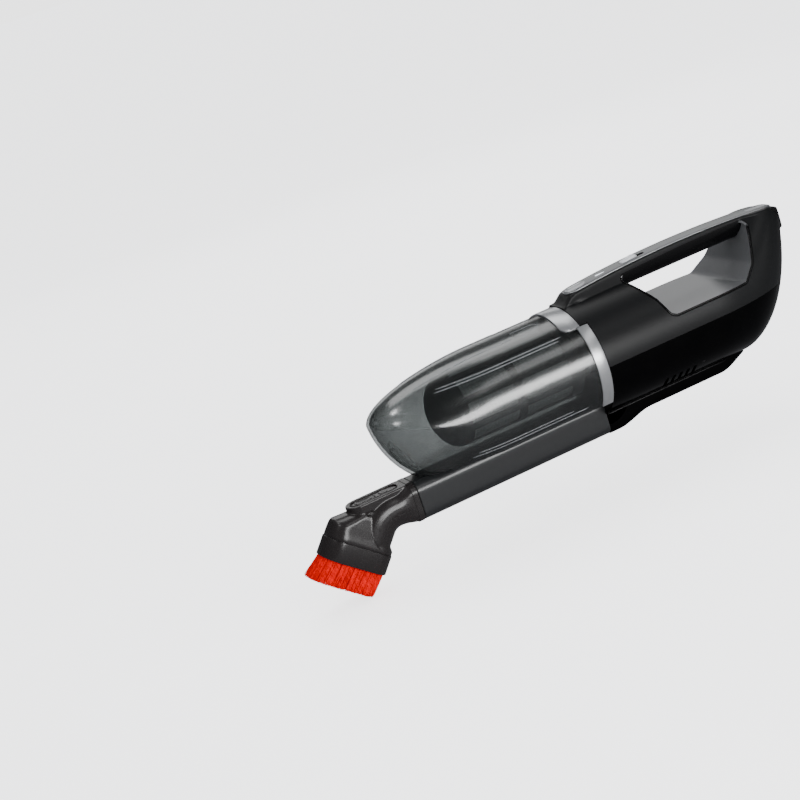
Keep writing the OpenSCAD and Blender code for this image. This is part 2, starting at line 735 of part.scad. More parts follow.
placed() upper_shell();
placed() lower_shell();
placed() keel_cover();
placed() finger_liner();
placed() control_strip();
placed() led_lens();
placed() rear_inlay();
placed() rear_cap();
placed() rear_foot();
placed() shell_screws();
placed() inlet_tube();
placed() duct_elbow();
placed() front_bulkhead();
placed() filter_cage();
placed() filter_mesh();
placed() pleated_filter();
placed() fan_housing();
placed() impeller();
placed() rotor_shaft();
placed() rotor_magnet();
placed() motor_can();
placed() stator();
placed() motor_bearings();
placed() motor_mounts();
placed() circuit_board();
placed() battery_cells();
placed() battery_holder();
placed() charge_socket();
placed() switch_module();
placed() power_slider();
placed() release_button();
placed() button_spring();
placed() exhaust_filter();
placed() bin_shell();
placed() bin_seal();
placed() trim_ring();
placed() top_plate();
placed() tool_body();
placed() brush_skirt();
placed() bristle_plate();
placed() bristles();
placed() latch_lever();
placed() latch_pin();
placed() latch_spring();
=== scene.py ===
import json
import math
import random
from math import cos, pi, radians, sin, sqrt

import bmesh
import bpy
from mathutils import Matrix, Vector


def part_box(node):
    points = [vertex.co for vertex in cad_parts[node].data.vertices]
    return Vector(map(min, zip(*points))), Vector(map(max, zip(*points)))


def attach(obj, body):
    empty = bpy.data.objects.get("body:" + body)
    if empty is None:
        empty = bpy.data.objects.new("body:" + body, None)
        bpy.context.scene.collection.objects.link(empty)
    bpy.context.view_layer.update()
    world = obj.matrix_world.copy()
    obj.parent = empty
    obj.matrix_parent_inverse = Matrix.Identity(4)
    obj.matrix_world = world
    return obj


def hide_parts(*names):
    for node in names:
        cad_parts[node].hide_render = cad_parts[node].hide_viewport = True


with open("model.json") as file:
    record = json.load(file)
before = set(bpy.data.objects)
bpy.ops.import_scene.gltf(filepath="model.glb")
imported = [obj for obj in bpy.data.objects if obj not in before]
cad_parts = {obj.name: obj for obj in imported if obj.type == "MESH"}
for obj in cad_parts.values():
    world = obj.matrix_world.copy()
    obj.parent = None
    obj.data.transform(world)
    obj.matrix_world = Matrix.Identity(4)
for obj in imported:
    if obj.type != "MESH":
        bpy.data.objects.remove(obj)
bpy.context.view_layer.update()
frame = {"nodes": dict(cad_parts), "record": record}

random.seed(11)

# ---- the design frame ----
# Shapes are written in millimetres from the middle of the trim ring's plane at the height of
# the inlet tube's underside: x to the rear, y away from the camera, z up.
MM = 0.001
TUBE_LEN = 203
TUBE_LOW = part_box("inlet_tube")[0]
ORIGIN = Vector((TUBE_LOW.x + TUBE_LEN * MM, 0, TUBE_LOW.z))


def place(p):
    """A design point in millimetres as a point of the row frame in metres."""
    return ORIGIN + Vector(p) * MM


def add(name, data):
    """A new object in the scene, of that mesh, camera or light."""
    obj = bpy.data.objects.new(name, data)
    bpy.context.scene.collection.objects.link(obj)
    return obj


# ---- driving sizes, as the CAD model has them ----
BARREL_R = 57
AXIS_Z = 75.5
BODY_LEN = 242
WALL = 2.4
SPINE_TOP = 148.5
SPINE_HW = 12
TAIL_X = 165
TAIL_Z = 116
TAIL_END = BODY_LEN - 4
TAB_X = -8
SHOULDER_X = 4
LINER_T = 2.2
OPENING = [(80, 95, 8), (166, 95, 8), (182, 108, 12), (201, 141.5, 2.5), (128, 141.5, 2.5),
           (57.5, 139, 2.5), (73.5, 113.5, 30)]    # corners of the finger opening as (x, z, radius)
BAR = (52, 206)
BAR_LOW = 127
STRIP = (4, 239)
STRIP_HW = 11
BUTTON_X = 16
BUTTON_WELL = (23, 14.2)
BUTTON = (22.4, 13.6)
LED_X = 45
LED = (11, 3)
SLIDER_X = 82
SLIDER_WELL = (27.6, 7.6)
SLIDER = (17, 9.6)
SLIDER_TRAVEL = 8
SLIDER_REST = SLIDER_X - SLIDER_TRAVEL / 2
INLAY_X = 226
INLAY = (22, 11)
CAP_X = (232.5, 244)
CAP_HW = 13
CAP_R = 2.6
WAIST_X = 130
VENTS = 5
VENT_X = 62
VENT_STEP = 8
VENT_TURN = 38
VENT_SLOT = (4, 18)
BIN_LEN = 222
BIN_R = 56
BIN_WALL = 2.2
PROW_Z = 98
BIN_FLOOR = 38.6
NOSE_FROM = 100
RING_W = 12
PLATE_X = (-27, -8.4)
PLATE_HALF = 42
KEEL_HW = 18.5
KEEL_R = 6
TUBE_HW = 19
TUBE_H = 38
TUBE_R = 9
BORE_R = 13.5
BORE_Z = 19
ELBOW_X = -238
ELBOW_R = 26
BRUSH_TILT = 50
PIPE_R = 18.5
THROAT = 33.6
SKIRT = (68, 39, 17)    # length, width and corner radius
SKIRT_SHIFT = 12
SKIRT_H = 19
BRISTLE_LEN = 23.5
BRISTLE_LEAN = 10.8
TUFT_ROWS = ((3.4, 62, 0.32), (5.4, 56, 0.3), (7.6, 48, 0.25))    # inset, tufts and spread of each
TUFT_R = 1.15
STRANDS = 12
NECK_X = -TUBE_LEN - 0.4
LEVER_X = (-262, -216)
LEVER_MID = (LEVER_X[0] + LEVER_X[1]) / 2
LEVER_LEN = LEVER_X[1] - LEVER_X[0]
LEVER_Z = 36.2
ELBOW_CUT = ELBOW_R * math.tan(radians(BRUSH_TILT / 2))


def clamp01(t):
    return min(max(t, 0.0), 1.0)


def smooth(t):
    """Eases from 0 to 1 as t does."""
    u = clamp01(t)
    return u * u * (3 - 2 * u)


def smax(a, b, k):
    """The larger of a and b, with the change between them rounded over k."""
    return (a + b + sqrt((a - b) ** 2 + k * k)) / 2


# ---- shader nodes ----
def new_node(nodes, kind, **values):
    """A shader node with those input values; an underscore stands for a space in an input's name."""
    node = nodes.new("ShaderNode" + kind)
    for key, value in values.items():
        node.inputs[key.replace("_", " ")].default_value = value
    return node


def wire(source, output, target, entry):
    """Links an output of one shader node to an input of another."""
    source.id_data.links.new(source.outputs[output], target.inputs[entry])


def color_ramp(nodes, dark, light, start=0.0, end=1.0):
    """A ramp between two tones."""
    ramp = new_node(nodes, "ValToRGB")
    for element, position, tone in zip(ramp.color_ramp.elements, (start, end), (dark, light)):
        element.position = position
        element.color = (*tone, 1)
    return ramp


# ---- camera, light and floor ----
def make_camera():
    """The photo's view: eye and aim in design millimetres, with the roll that tilts the picture."""
    eye = Vector((-674.1, -1482.8, 559.7))
    aim = Vector((-185, 0, 111.6))
    roll = radians(-18.64)
    back = (eye - aim).normalized()
    level = Vector((0, 0, 1)).cross(back).normalized()
    up = back.cross(level)
    right = level * cos(roll) + up * sin(roll)
    up = back.cross(right)
    data = bpy.data.cameras.new("camera")
    data.lens = 79.65
    data.sensor_width = 36
    data.clip_end = 200
    cam = add("camera", data)
    turn = Matrix((right, up, back)).transposed().to_4x4()
    cam.matrix_world = Matrix.Translation(place(eye)) @ turn
    bpy.context.scene.camera = cam


def softbox(name, azimuth, elevation, distance, size, watts, aim=(0, 0, 80)):
    """An area light seen from the aim point at that azimuth and elevation in degrees."""
    a, e = radians(azimuth), radians(elevation)
    out = Vector((cos(a) * cos(e), sin(a) * cos(e), sin(e)))
    data = bpy.data.lights.new(name, "AREA")
    data.shape = "RECTANGLE"
    data.size, data.size_y = size
    data.energy = watts
    light = add(name, data)
    turn = out.to_track_quat("Z", "Y").to_matrix().to_4x4()
    light.matrix_world = Matrix.Translation(place(aim) + out * distance) @ turn


def make_world():
    """White to the camera, soft fill for the surfaces and nearly black in their reflections."""
    world = bpy.data.worlds.new("world")
    bpy.context.scene.world = world
    world.use_nodes = True
    nodes = world.node_tree.nodes
    nodes.clear()
    out = new_node(nodes, "OutputWorld")
    seen = new_node(nodes, "Background", Color=(0.86, 0.86, 0.865, 1), Strength=3.2)
    lit = new_node(nodes, "Background", Color=(0.9, 0.93, 1.0, 1), Strength=0.8)
    mirrored = new_node(nodes, "Background", Color=(0.95, 0.97, 1.0, 1), Strength=0.05)
    path = new_node(nodes, "LightPath")
    gloss = new_node(nodes, "MixShader")
    eye = new_node(nodes, "MixShader")
    wire(path, "Is Glossy Ray", gloss, "Fac")
    wire(lit, 0, gloss, 1)
    wire(mirrored, 0, gloss, 2)
    wire(path, "Is Camera Ray", eye, "Fac")
    wire(gloss, 0, eye, 1)
    wire(seen, 0, eye, 2)
    wire(eye, 0, out, 0)


def make_floor(look):
    """The table: it glows for the camera only and is dimmer in reflections."""
    mesh = bpy.data.meshes.new("floor")
    reach = 45
    mesh.from_pydata([(-reach, -reach, 0), (reach, -reach, 0), (reach, reach, 0), (-reach, reach, 0)],
                     [], [(0, 1, 2, 3)])
    floor = add("floor", mesh)
    mesh.materials.append(look)
    nodes = look.node_tree.nodes
    path = new_node(nodes, "LightPath")
    glow = new_node(nodes, "Math")
    glow.operation = "MULTIPLY"
    glow.inputs[1].default_value = 2.3
    wire(path, "Is Camera Ray", glow, 0)
    shader = nodes["Principled BSDF"]
    wire(glow, 0, shader, "Emission Strength")
    shader.inputs["Emission Color"].default_value = (0.98, 0.98, 0.985, 1)
    dim = new_node(nodes, "Mix")
    dim.data_type = "RGBA"
    dim.inputs["B"].default_value = (0.17, 0.17, 0.172, 1)
    tone = shader.inputs["Base Color"].links[0].from_node
    wire(tone, "Color", dim, "A")
    wire(path, "Is Glossy Ray", dim, "Factor")
    wire(dim, "Result", shader, "Base Color")


def make_lights():
    """Name, azimuth, elevation, distance, size and watts. The long box draws the barrel's streak."""
    softbox("long_box", -80, 9, 1.7, (1.3, 0.42), 24)
    softbox("back_box", 72, 18, 2.2, (1.8, 0.5), 4.5)
    softbox("high_box", -55, 46, 1.9, (1.5, 0.4), 3.6)
    softbox("top_box", 70, 62, 2.0, (1.8, 0.9), 14)
    softbox("nose_box", 166, 72, 1.6, (0.22, 0.16), 2.2, aim=(-200, 0, 100))
    softbox("nose_box_low", -147, 50, 1.6, (0.22, 0.16), 2.2, aim=(-200, 0, 100))
    softbox("rear_box", -34, 9, 2.0, (0.3, 0.9), 1.6)


# ---- materials ----
LOOKS = {}


def new_look(name):
    """A new Principled material, kept in LOOKS under that name."""
    look = bpy.data.materials.new(name)
    look.use_nodes = True
    LOOKS[name] = look
    nodes = look.node_tree.nodes
    return look, nodes, nodes["Principled BSDF"]


def surface(name, dark, light, rough, level=0.5, metal=0.0, scale=220.0, stretch=(1, 1, 1), bump=0.04):
    """A Principled look whose tone and roughness follow a noise in the object's own space."""
    look, nodes, shader = new_look(name)
    where = new_node(nodes, "TexCoord")
    mapping = new_node(nodes, "Mapping", Scale=stretch)
    noise = new_node(nodes, "TexNoise", Scale=scale, Detail=4)
    tone = color_ramp(nodes, dark, light, 0.3, 0.72)
    gloss = new_node(nodes, "MapRange", To_Min=rough[0], To_Max=rough[1])
    relief = new_node(nodes, "Bump", Strength=bump, Distance=0.0004)
    wire(where, "Object", mapping, "Vector")
    wire(mapping, "Vector", noise, "Vector")
    wire(noise, "Fac", tone, "Fac")
    wire(noise, "Fac", gloss, "Value")
    wire(noise, "Fac", relief, "Height")
    wire(tone, "Color", shader, "Base Color")
    wire(gloss, "Result", shader, "Roughness")
    wire(relief, "Normal", shader, "Normal")
    shader.inputs["Metallic"].default_value = metal
    shader.inputs["Specular IOR Level"].default_value = level
    return look


def clear_look(name, tint, body, blend, low, high, rough, ior):
    """Smoked clear plastic: a tinted see-through shader under a glossy one that grows at the edges."""
    look, nodes, shader = new_look(name)
    shader.inputs["Base Color"].default_value = (*body, 1)
    shader.inputs["Specular IOR Level"].default_value = 0.9
    shader.inputs["IOR"].default_value = ior
    where = new_node(nodes, "TexCoord")
    noise = new_node(nodes, "TexNoise", Scale=60, Detail=3)
    gloss = new_node(nodes, "MapRange", To_Min=rough, To_Max=rough + 0.05)
    haze = color_ramp(nodes, [0.9 * c for c in tint], tint)
    through = new_node(nodes, "BsdfTransparent")
    edge = new_node(nodes, "LayerWeight", Blend=blend)
    share = new_node(nodes, "MapRange", To_Min=low, To_Max=high)
    mix = new_node(nodes, "MixShader")
    wire(where, "Object", noise, "Vector")
    wire(noise, "Fac", gloss, "Value")
    wire(noise, "Fac", haze, "Fac")
    wire(gloss, "Result", shader, "Roughness")
    wire(haze, "Color", through, "Color")
    wire(edge, "Facing", share, "Value")
    wire(share, "Result", mix, "Fac")
    wire(through, 0, mix, 1)
    wire(shader, 0, mix, 2)
    wire(mix, 0, nodes["Material Output"], "Surface")
    return look


def lamp_look(name):
    """The white indicator: a pale diffuser that glows a little."""
    look = surface(name, (0.75, 0.8, 0.85), (0.95, 0.97, 1.0), (0.2, 0.3), scale=90)
    shader = look.node_tree.nodes["Principled BSDF"]
    shader.inputs["Emission Color"].default_value = (0.93, 0.97, 1.0, 1)
    shader.inputs["Emission Strength"].default_value = 0.7
    return look


def weave_look(name, dark, light, pitch):
    """A fine woven mesh: two crossed sets of waves, one along the axis and one round it."""
    look, nodes, shader = new_look(name)
    where = new_node(nodes, "TexCoord")
    waves = []
    for direction in ("X", "Z"):
        wave = new_node(nodes, "TexWave", Scale=1 / pitch)
        wave.bands_direction = direction
        wire(where, "Object", wave, "Vector")
        waves.append(wave)
    both = new_node(nodes, "Math")
    both.operation = "MULTIPLY"
    tone = color_ramp(nodes, dark, light)
    relief = new_node(nodes, "Bump", Distance=0.0004)
    wire(waves[0], "Fac", both, 0)
    wire(waves[1], "Fac", both, 1)
    wire(both, 0, tone, "Fac")
    wire(both, 0, relief, "Height")
    wire(tone, "Color", shader, "Base Color")
    wire(relief, "Normal", shader, "Normal")
    shader.inputs["Roughness"].default_value = 0.55
    return look


def bristle_look(name):
    """Red filaments: the tone changes from strand to strand, round the brush, and little along it."""
    return surface(name, (0.55, 0.0, 0.0), (0.95, 0.0, 0.001), (0.5, 0.65), level=0.03, scale=420,
                   stretch=(1, 1, 0.25), bump=0.1)


surface("body_upper", (0.0055, 0.0057, 0.006), (0.0075, 0.0078, 0.0082), (0.36, 0.4), level=0.2,
        scale=2600, bump=0.01)
surface("body_lower", (0.0004, 0.0004, 0.0005), (0.0008, 0.0008, 0.0009), (0.14, 0.18), level=0.08,
        scale=60, bump=0.004)
surface("liner", (0.125, 0.127, 0.13), (0.145, 0.147, 0.15), (0.3, 0.34), metal=0.4, scale=1600,
        bump=0.006)
surface("strip", (0.15, 0.154, 0.157), (0.185, 0.19, 0.193), (0.3, 0.36), metal=0.65, scale=2600,
        stretch=(0.05, 1, 1), bump=0.004)
surface("bright_trim", (0.45, 0.457, 0.465), (0.475, 0.482, 0.49), (0.27, 0.29), metal=0.75, scale=5200,
        stretch=(1, 0.12, 0.12), bump=0.001)
surface("switch", (0.68, 0.69, 0.7), (0.74, 0.75, 0.76), (0.16, 0.2), metal=0.1, scale=3000, bump=0.002)
lamp_look("lens")
surface("black_plastic", (0.0012, 0.0012, 0.0014), (0.0025, 0.0025, 0.0028), (0.2, 0.26), level=0.25,
        scale=1800, bump=0.01)
surface("rubber", (0.012, 0.012, 0.013), (0.022, 0.022, 0.023), (0.62, 0.78), level=0.3, scale=1200,
        bump=0.1)
surface("foam", (0.008, 0.008, 0.0085), (0.03, 0.031, 0.032), (0.8, 0.95), level=0.2, scale=2600,
        bump=0.4)
surface("dark_steel", (0.012, 0.012, 0.013), (0.022, 0.022, 0.024), (0.3, 0.4), metal=0.6, scale=600)
surface("steel", (0.45, 0.46, 0.47), (0.62, 0.63, 0.64), (0.22, 0.34), metal=1.0, scale=300,
        stretch=(0.2, 1, 1))
surface("tube_plastic", (0.0125, 0.0133, 0.0141), (0.0155, 0.0164, 0.0172), (0.29, 0.33), level=0.72,
        scale=2400, bump=0.006)
surface("cage_plastic", (0.085, 0.088, 0.09), (0.11, 0.114, 0.116), (0.55, 0.65), level=0.25,
        scale=1500, bump=0.02)
weave_look("mesh", (0.34, 0.36, 0.355), (0.5, 0.525, 0.52), 0.012)
surface("filter_paper", (0.52, 0.5, 0.44), (0.66, 0.64, 0.58), (0.8, 0.95), level=0.2, scale=800,
        bump=0.2)
surface("alloy", (0.42, 0.43, 0.44), (0.56, 0.57, 0.58), (0.3, 0.42), metal=0.9, scale=300)
surface("magnet", (0.12, 0.12, 0.13), (0.18, 0.18, 0.19), (0.35, 0.5), metal=0.7, scale=260)
surface("copper", (0.42, 0.17, 0.07), (0.6, 0.27, 0.12), (0.25, 0.4), metal=0.9, scale=200,
        stretch=(0.1, 1, 1), bump=0.2)
surface("board", (0.01, 0.07, 0.03), (0.02, 0.11, 0.05), (0.35, 0.5), scale=160, bump=0.05)
surface("cell", (0.02, 0.12, 0.26), (0.03, 0.16, 0.33), (0.25, 0.35), scale=120)
clear_look("clear_bin", (0.7, 0.717, 0.713), (0.012, 0.0135, 0.0135), blend=0.3, low=0.28, high=0.82,
           rough=0.17, ior=2.2)
surface("tool_plastic", (0.0145, 0.0122, 0.012), (0.018, 0.0155, 0.0153), (0.25, 0.29), scale=2400,
        bump=0.006)
bristle_look("bristle")
# The rib look is a lighter, more opaque copy of the clear bin: painted highlight along the moulded ribs.
clear_look("rib", (0.9, 0.91, 0.92), (0.3, 0.31, 0.32), blend=0.4, low=0.45, high=0.95, rough=0.2,
           ior=1.6)
surface("floor", (0.83, 0.83, 0.835), (0.86, 0.86, 0.865), (0.6, 0.7), level=0.1, scale=6, bump=0.0)


# ---- mesh helpers ----
def settle(obj, sharp=32):
    """Welds, turns the faces outward and shades smooth but for edges sharper than that angle."""
    bm = bmesh.new()
    bm.from_mesh(obj.data)
    bmesh.ops.remove_doubles(bm, verts=bm.verts, dist=2e-6)
    bmesh.ops.dissolve_degenerate(bm, edges=bm.edges, dist=1e-6)
    bmesh.ops.recalc_face_normals(bm, faces=bm.faces)
    limit = radians(sharp)
    for face in bm.faces:
        face.smooth = True
    for edge in bm.edges:
        edge.smooth = len(edge.link_faces) == 2 and edge.calc_face_angle(0) < limit
    bm.to_mesh(obj.data)
    bm.free()
    return obj


def solid(name, points, faces, sharp=32):
    mesh = bpy.data.meshes.new(name)
    mesh.from_pydata([place(p) for p in points], [], faces)
    return settle(add(name, mesh), sharp)


def strips(rings):
    """The side faces of a row of closed rings with as many points each."""
    n = len(rings[0])
    faces = []
    for low in range(0, (len(rings) - 1) * n, n):
        for j in range(n):
            k = (j + 1) % n
            faces.append((low + j, low + k, low + n + k, low + n + j))
    return faces


def loft(name, rings, loop=False, sharp=32):
    """A skin through closed rings, with end caps unless loop joins the last ring to the first."""
    n, count = len(rings[0]), len(rings)
    points = [p for ring in rings for p in ring]
    faces = strips(rings)
    if loop:
        faces += [((count - 1) * n + j, (count - 1) * n + (j + 1) % n, (j + 1) % n, j) for j in range(n)]
    else:
        faces += [tuple(range(n)), tuple(range((count - 1) * n, count * n))]
    return solid(name, points, faces, sharp)


def apply_all(obj):
    """Makes the object's modifiers part of its mesh."""
    depsgraph = bpy.context.evaluated_depsgraph_get()
    mesh = bpy.data.meshes.new_from_object(obj.evaluated_get(depsgraph))
    obj.modifiers.clear()
    obj.data = mesh


def cut(obj, cutters):
    """Takes each cutter out of the object in turn, then the cutters go."""
    for cutter in cutters:
        step = obj.modifiers.new("cut", "BOOLEAN")
        step.operation = "DIFFERENCE"
        step.solver = "EXACT"
        step.object = cutter
        apply_all(obj)
        bpy.data.objects.remove(cutter, do_unlink=True)
    return obj


def join(name, parts):
    """One object from several, kept as separate closed shells."""
    bm = bmesh.new()
    for part in parts:
        bm.from_mesh(part.data)
    mesh = bpy.data.meshes.new(name)
    bm.to_mesh(mesh)
    bm.free()
    for part in parts:
        bpy.data.objects.remove(part, do_unlink=True)
    return add(name, mesh)


def finish(obj, slot, body, *nodes, look=None):
    """Gives a piece its look, body and slot, and the CAD nodes that it stands for."""
    obj.data.materials.clear()
    obj.data.materials.append(LOOKS[look or slot])
    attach(obj, body)
    if nodes:
        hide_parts(*nodes)
    return obj


def arc(cx, cy, r, a0, a1, steps):
    """Points of an arc, angles in degrees."""
    return [(cx + r * cos(radians(a0 + (a1 - a0) * i / steps)),
             cy + r * sin(radians(a0 + (a1 - a0) * i / steps))) for i in range(steps + 1)]


def box_solid(name, lo, hi):
    points = [(x, y, z) for x in (lo[0], hi[0]) for y in (lo[1], hi[1]) for z in (lo[2], hi[2])]
    faces = [(0, 1, 3, 2), (4, 6, 7, 5), (0, 4, 5, 1), (2, 3, 7, 6), (0, 2, 6, 4), (1, 5, 7, 3)]
    return solid(name, points, faces)


def rod_x(name, x0, x1, r, y, z, sides=64):
    """A rod along x."""
    ring = arc(y, z, r, 0, 360 - 360 / sides, sides - 1)
    return loft(name, [[(x, *p) for p in ring] for x in (x0, x1)])


def stadium_outline(x, length, width, turns=14):
    """An oval with straight sides along x, about (x, 0)."""
    half = (length - width) / 2
    return arc(x + half, 0, width / 2, -90, 90, turns) + arc(x - half, 0, width / 2, 90, 270, turns)


def prism(name, outline, z0, z1):
    return loft(name, [[(x, y, z) for x, y in outline] for z in (z0, z1)])


def oval_cap(name, x, length, width, levels, height=lambda px: 0.0):
    """A stack of ovals: levels are (how much smaller all round, z); height lifts each point by its x."""
    rings = []
    for inset, z in levels:
        rings.append([(px, py, z + height(px))
                      for px, py in stadium_outline(x, length - 2 * inset, width - 2 * inset)])
    return loft(name, rings)


def bead(name, path, r, closed=False, sides=10):
    """A round bead along a path of design points."""
    pts = [Vector(p) for p in path]
    n = len(pts)
    rings = []
    normal = None
    for i, p in enumerate(pts):
        ahead = pts[(i + 1) % n] if closed or i < n - 1 else p
        behind = pts[i - 1] if closed or i > 0 else p
        way = (ahead - behind).normalized()
        if normal is None:
            normal = way.orthogonal().normalized()
        normal = (normal - way * normal.dot(way)).normalized()
        side = way.cross(normal)
        size = r if closed or 0 < i < n - 1 else r * 0.35
        rings.append([p + (normal * cos(a) + side * sin(a)) * size
                      for a in [2 * pi * k / sides for k in range(sides)]])
    return loft(name, rings, loop=closed, sharp=80)


# ---- body sections ----
def both_sides(x, half, *top):
    """A section at x from the (y, z) points of its right half, with middle points at those heights."""
    right = [(x, y, z) for y, z in half]
    return right + [(x, 0, z) for z in top] + [(x, -y, z) for y, z in reversed(half)]


def spine_z(x):
    """The crowned line that the strip and the handle follow."""
    return SPINE_TOP - 6.5 * ((x - 128) / 124) ** 2


def body_top(x):
    """The barrel's top at the ring, then the spine, then the drop behind the cap."""
    t = smooth((x - TAB_X) / (SHOULDER_X - TAB_X + 4))
    return (AXIS_Z + BARREL_R + 1) * (1 - t) + spine_z(x) * t - 8 * clamp01((x - 228) / 16) ** 3


def tail_u(x):
    """From 0 where the rear sweep starts to 1 at its end."""
    return clamp01((x - TAIL_X) / (TAIL_END - TAIL_X))


def body_bottom(x):
    """The barrel's underside: level, then a sweep up to the tail."""
    u = min(0.995, tail_u(x))
    return TAIL_Z - (TAIL_Z - AXIS_Z + BARREL_R) * (1 - u ** 1.7) ** (1 / 1.7)


def body_mid(x):
    """Height of the widest point."""
    return AXIS_Z + (TAIL_Z + 12 - AXIS_Z) * tail_u(x) ** 2.2


def body_hw(x):
    """Half the barrel's width: it narrows to the spine's behind WAIST_X."""
    u = clamp01((x - WAIST_X) / (BODY_LEN - WAIST_X))
    return SPINE_HW + (BARREL_R - SPINE_HW) * (1 - u * u) ** 0.8


def crown(x):
    """How far the barrel's oval reaches above its widest point."""
    return BARREL_R + (body_top(x) - body_mid(x) - BARREL_R) * tail_u(x) ** 1.5


def side(x, z, t=0.0):
    """Half the body's width at that height, a wall of t further in."""
    mid = body_mid(x)
    w = body_hw(x) - t
    r = mid - body_bottom(x) - t if z < mid else crown(x) - t
    oval = w * sqrt(max(0.0, 1 - ((z - mid) / r) ** 2))
    if z < mid:
        return oval
    rise = smooth((z - mid) / 30)
    return smax(oval, (SPINE_HW - t) * rise, 9 * rise)


def body_ring(x, t, low_steps, crown_steps, edge):
    """One closed section of the body, with the top's edges rounded by that radius."""
    low, mid, top = body_bottom(x) + t, body_mid(x), body_top(x) - t
    levels = [mid - (mid - low) * cos(radians(90 * k / low_steps))
              for k in range(1, low_steps + 1)]
    levels += [mid + (crown(x) - t) * sin(radians(74 * k / crown_steps))
               for k in range(1, crown_steps + 1)]
    shoulder = top - edge
    levels = [z for z in levels if z < shoulder - 0.6]
    want = low_steps + crown_steps + 5
    last = levels[-1]
    extra = want - len(levels)
    levels += [last + (shoulder - last) * k / extra for k in range(1, extra + 1)]
    half = [(side(x, z, t), z) for z in levels]
    w = side(x, shoulder, t)
    half += [(w - edge + edge * cos(radians(a)), shoulder + edge * sin(radians(a)))
             for a in (22, 45, 68, 90)]
    half += [(w * 0.45, top)]
    return [(x, 0, low)] + both_sides(x, half, top)


def body_stations(x0, x1, flat_step):
    """Where the body's sections lie: close at the ring and in the tail, flat_step apart between."""
    xs = [x0 + i for i in range(0, 13) if x0 + i < 5]
    xs += [5 + flat_step * i for i in range(1, int((TAIL_X - 5) / flat_step))]
    xs += [TAIL_X + (TAIL_END - TAIL_X) * sin(radians(90 * k / 30)) for k in range(31)]
    xs += [x1 - 2.5, x1 - 1, x1]
    return sorted({round(x, 3) for x in xs if x0 <= x <= x1})


def body_loft(name, t, x0, x1, flat_step, low_steps, crown_steps, edge):
    return loft(name, [body_ring(x, t, low_steps, crown_steps, edge)
                       for x in body_stations(x0, x1, flat_step)])


def outline(corners, grow, spacing=3.0):
    """A closed outline through (x, z, radius) corners, moved out by grow, with points evenly along it."""
    n = len(corners)
    marks = []
    for i in range(n):
        a, b, c = (Vector(corners[(i + k) % n][:2]) for k in (-1, 0, 1))
        radius = corners[i][2]
        d0, d1 = (b - a).normalized(), (c - b).normalized()
        n0, n1 = Vector((d0.y, -d0.x)), Vector((d1.y, -d1.x))
        turn = d0.x * d1.y - d0.y * d1.x
        bisect = (n0 + n1) / (1 + n0.dot(n1))
        if turn > 0.001:
            centre = b - bisect * radius
            a0 = math.atan2(n0.y, n0.x)
            sweep = math.atan2(turn, d0.dot(d1))
            steps = max(3, int(math.degrees(sweep) / 8))
            marks += [centre + Vector((cos(a0 + sweep * k / steps), sin(a0 + sweep * k / steps)))
                      * (radius + grow) for k in range(steps + 1)]
        else:
            marks.append(b + bisect * grow)
    points = []
    for p, q in zip(marks, marks[1:] + marks[:1]):
        pieces = max(1, round((q - p).length / spacing))
        points += [p + (q - p) * k / pieces for k in range(pieces)]
    return [(p.x, p.y) for p in points]


def opening_prism(name, grow):
    ring = outline(OPENING, grow)
    return loft(name, [[(x, y, z) for x, z in ring] for y in (-70, 70)])


# ---- motor body ----
def make_body():
    """The two half shells, cut from one hollow skin."""
    shell = body_loft("upper_shell_skin", 0, TAB_X, BODY_LEN, 4, 22, 26, 2.2)
    inside = body_loft("inside", WALL, TAB_X - 1, BODY_LEN - 3.5, 10, 10, 12, 1.0)
    handle_low = OPENING[0][1] - LINER_T - 0.4
    inside = cut(inside, [box_solid("handle", (BAR[0], -90, handle_low), (260, 90, 200))])
    shell = cut(shell, [inside])
    lower = add("lower_shell_skin", shell.data.copy())

    wedge = []
    for s in (-1, 1):
        a = radians(PLATE_HALF - 1)
        reach = [(0, -90), (0, 0), (90 * sin(a), 90 * cos(a)), (120, 60), (120, -90)]
        ring = [[(x, s * y, AXIS_Z + z) for y, z in reach] for x in (TAB_X - 3, 0)]
        wedge.append(loft("wedge", ring))
    wells = [prism("button_well", stadium_outline(BUTTON_X, *BUTTON_WELL), 138, 160),
             prism("slider_well", stadium_outline(SLIDER_X, *SLIDER_WELL), 138, 160)]
    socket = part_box("charge_socket")
    socket_r = (socket[1].z - socket[0].z) / 2 / MM
    socket_z = ((socket[1].z + socket[0].z) / 2 - ORIGIN.z) / MM
    upper = cut(shell, [box_solid("below", (-30, -90, -30), (280, 90, AXIS_Z + 0.15)), *wedge,
                        opening_prism("gap", LINER_T), *wells,
                        rod_x("socket_gap", 208, 250, socket_r + 0.1, 0, socket_z)])
    finish(settle(upper, 30), "body_upper", "motor_body", "upper_shell")

    turn = radians(VENT_TURN)
    width, length = VENT_SLOT
    ends = (length - width) / 2
    slot = arc(0, ends, width / 2, 0, 180, 8) + arc(0, -ends, width / 2, 180, 360, 8)
    vents = []
    for s in (-1, 1):
        out = (s * sin(turn), -cos(turn))
        along = (s * cos(turn), sin(turn))
        for i in range(VENTS):
            vents.append(loft("vent", [[(VENT_X + VENT_STEP * i + px, out[0] * depth + along[0] * w,
                                         AXIS_Z + out[1] * depth + along[1] * w) for px, w in slot]
                                       for depth in (BARREL_R - 6, BARREL_R + 6)]))
    lower = cut(lower, [box_solid("above", (-30, -90, AXIS_Z - 0.15), (280, 90, 200)),
                        box_solid("ahead", (-30, -90, -30), (0, 90, 200)), *vents])
    finish(settle(lower, 30), "body_lower", "motor_body", "lower_shell")


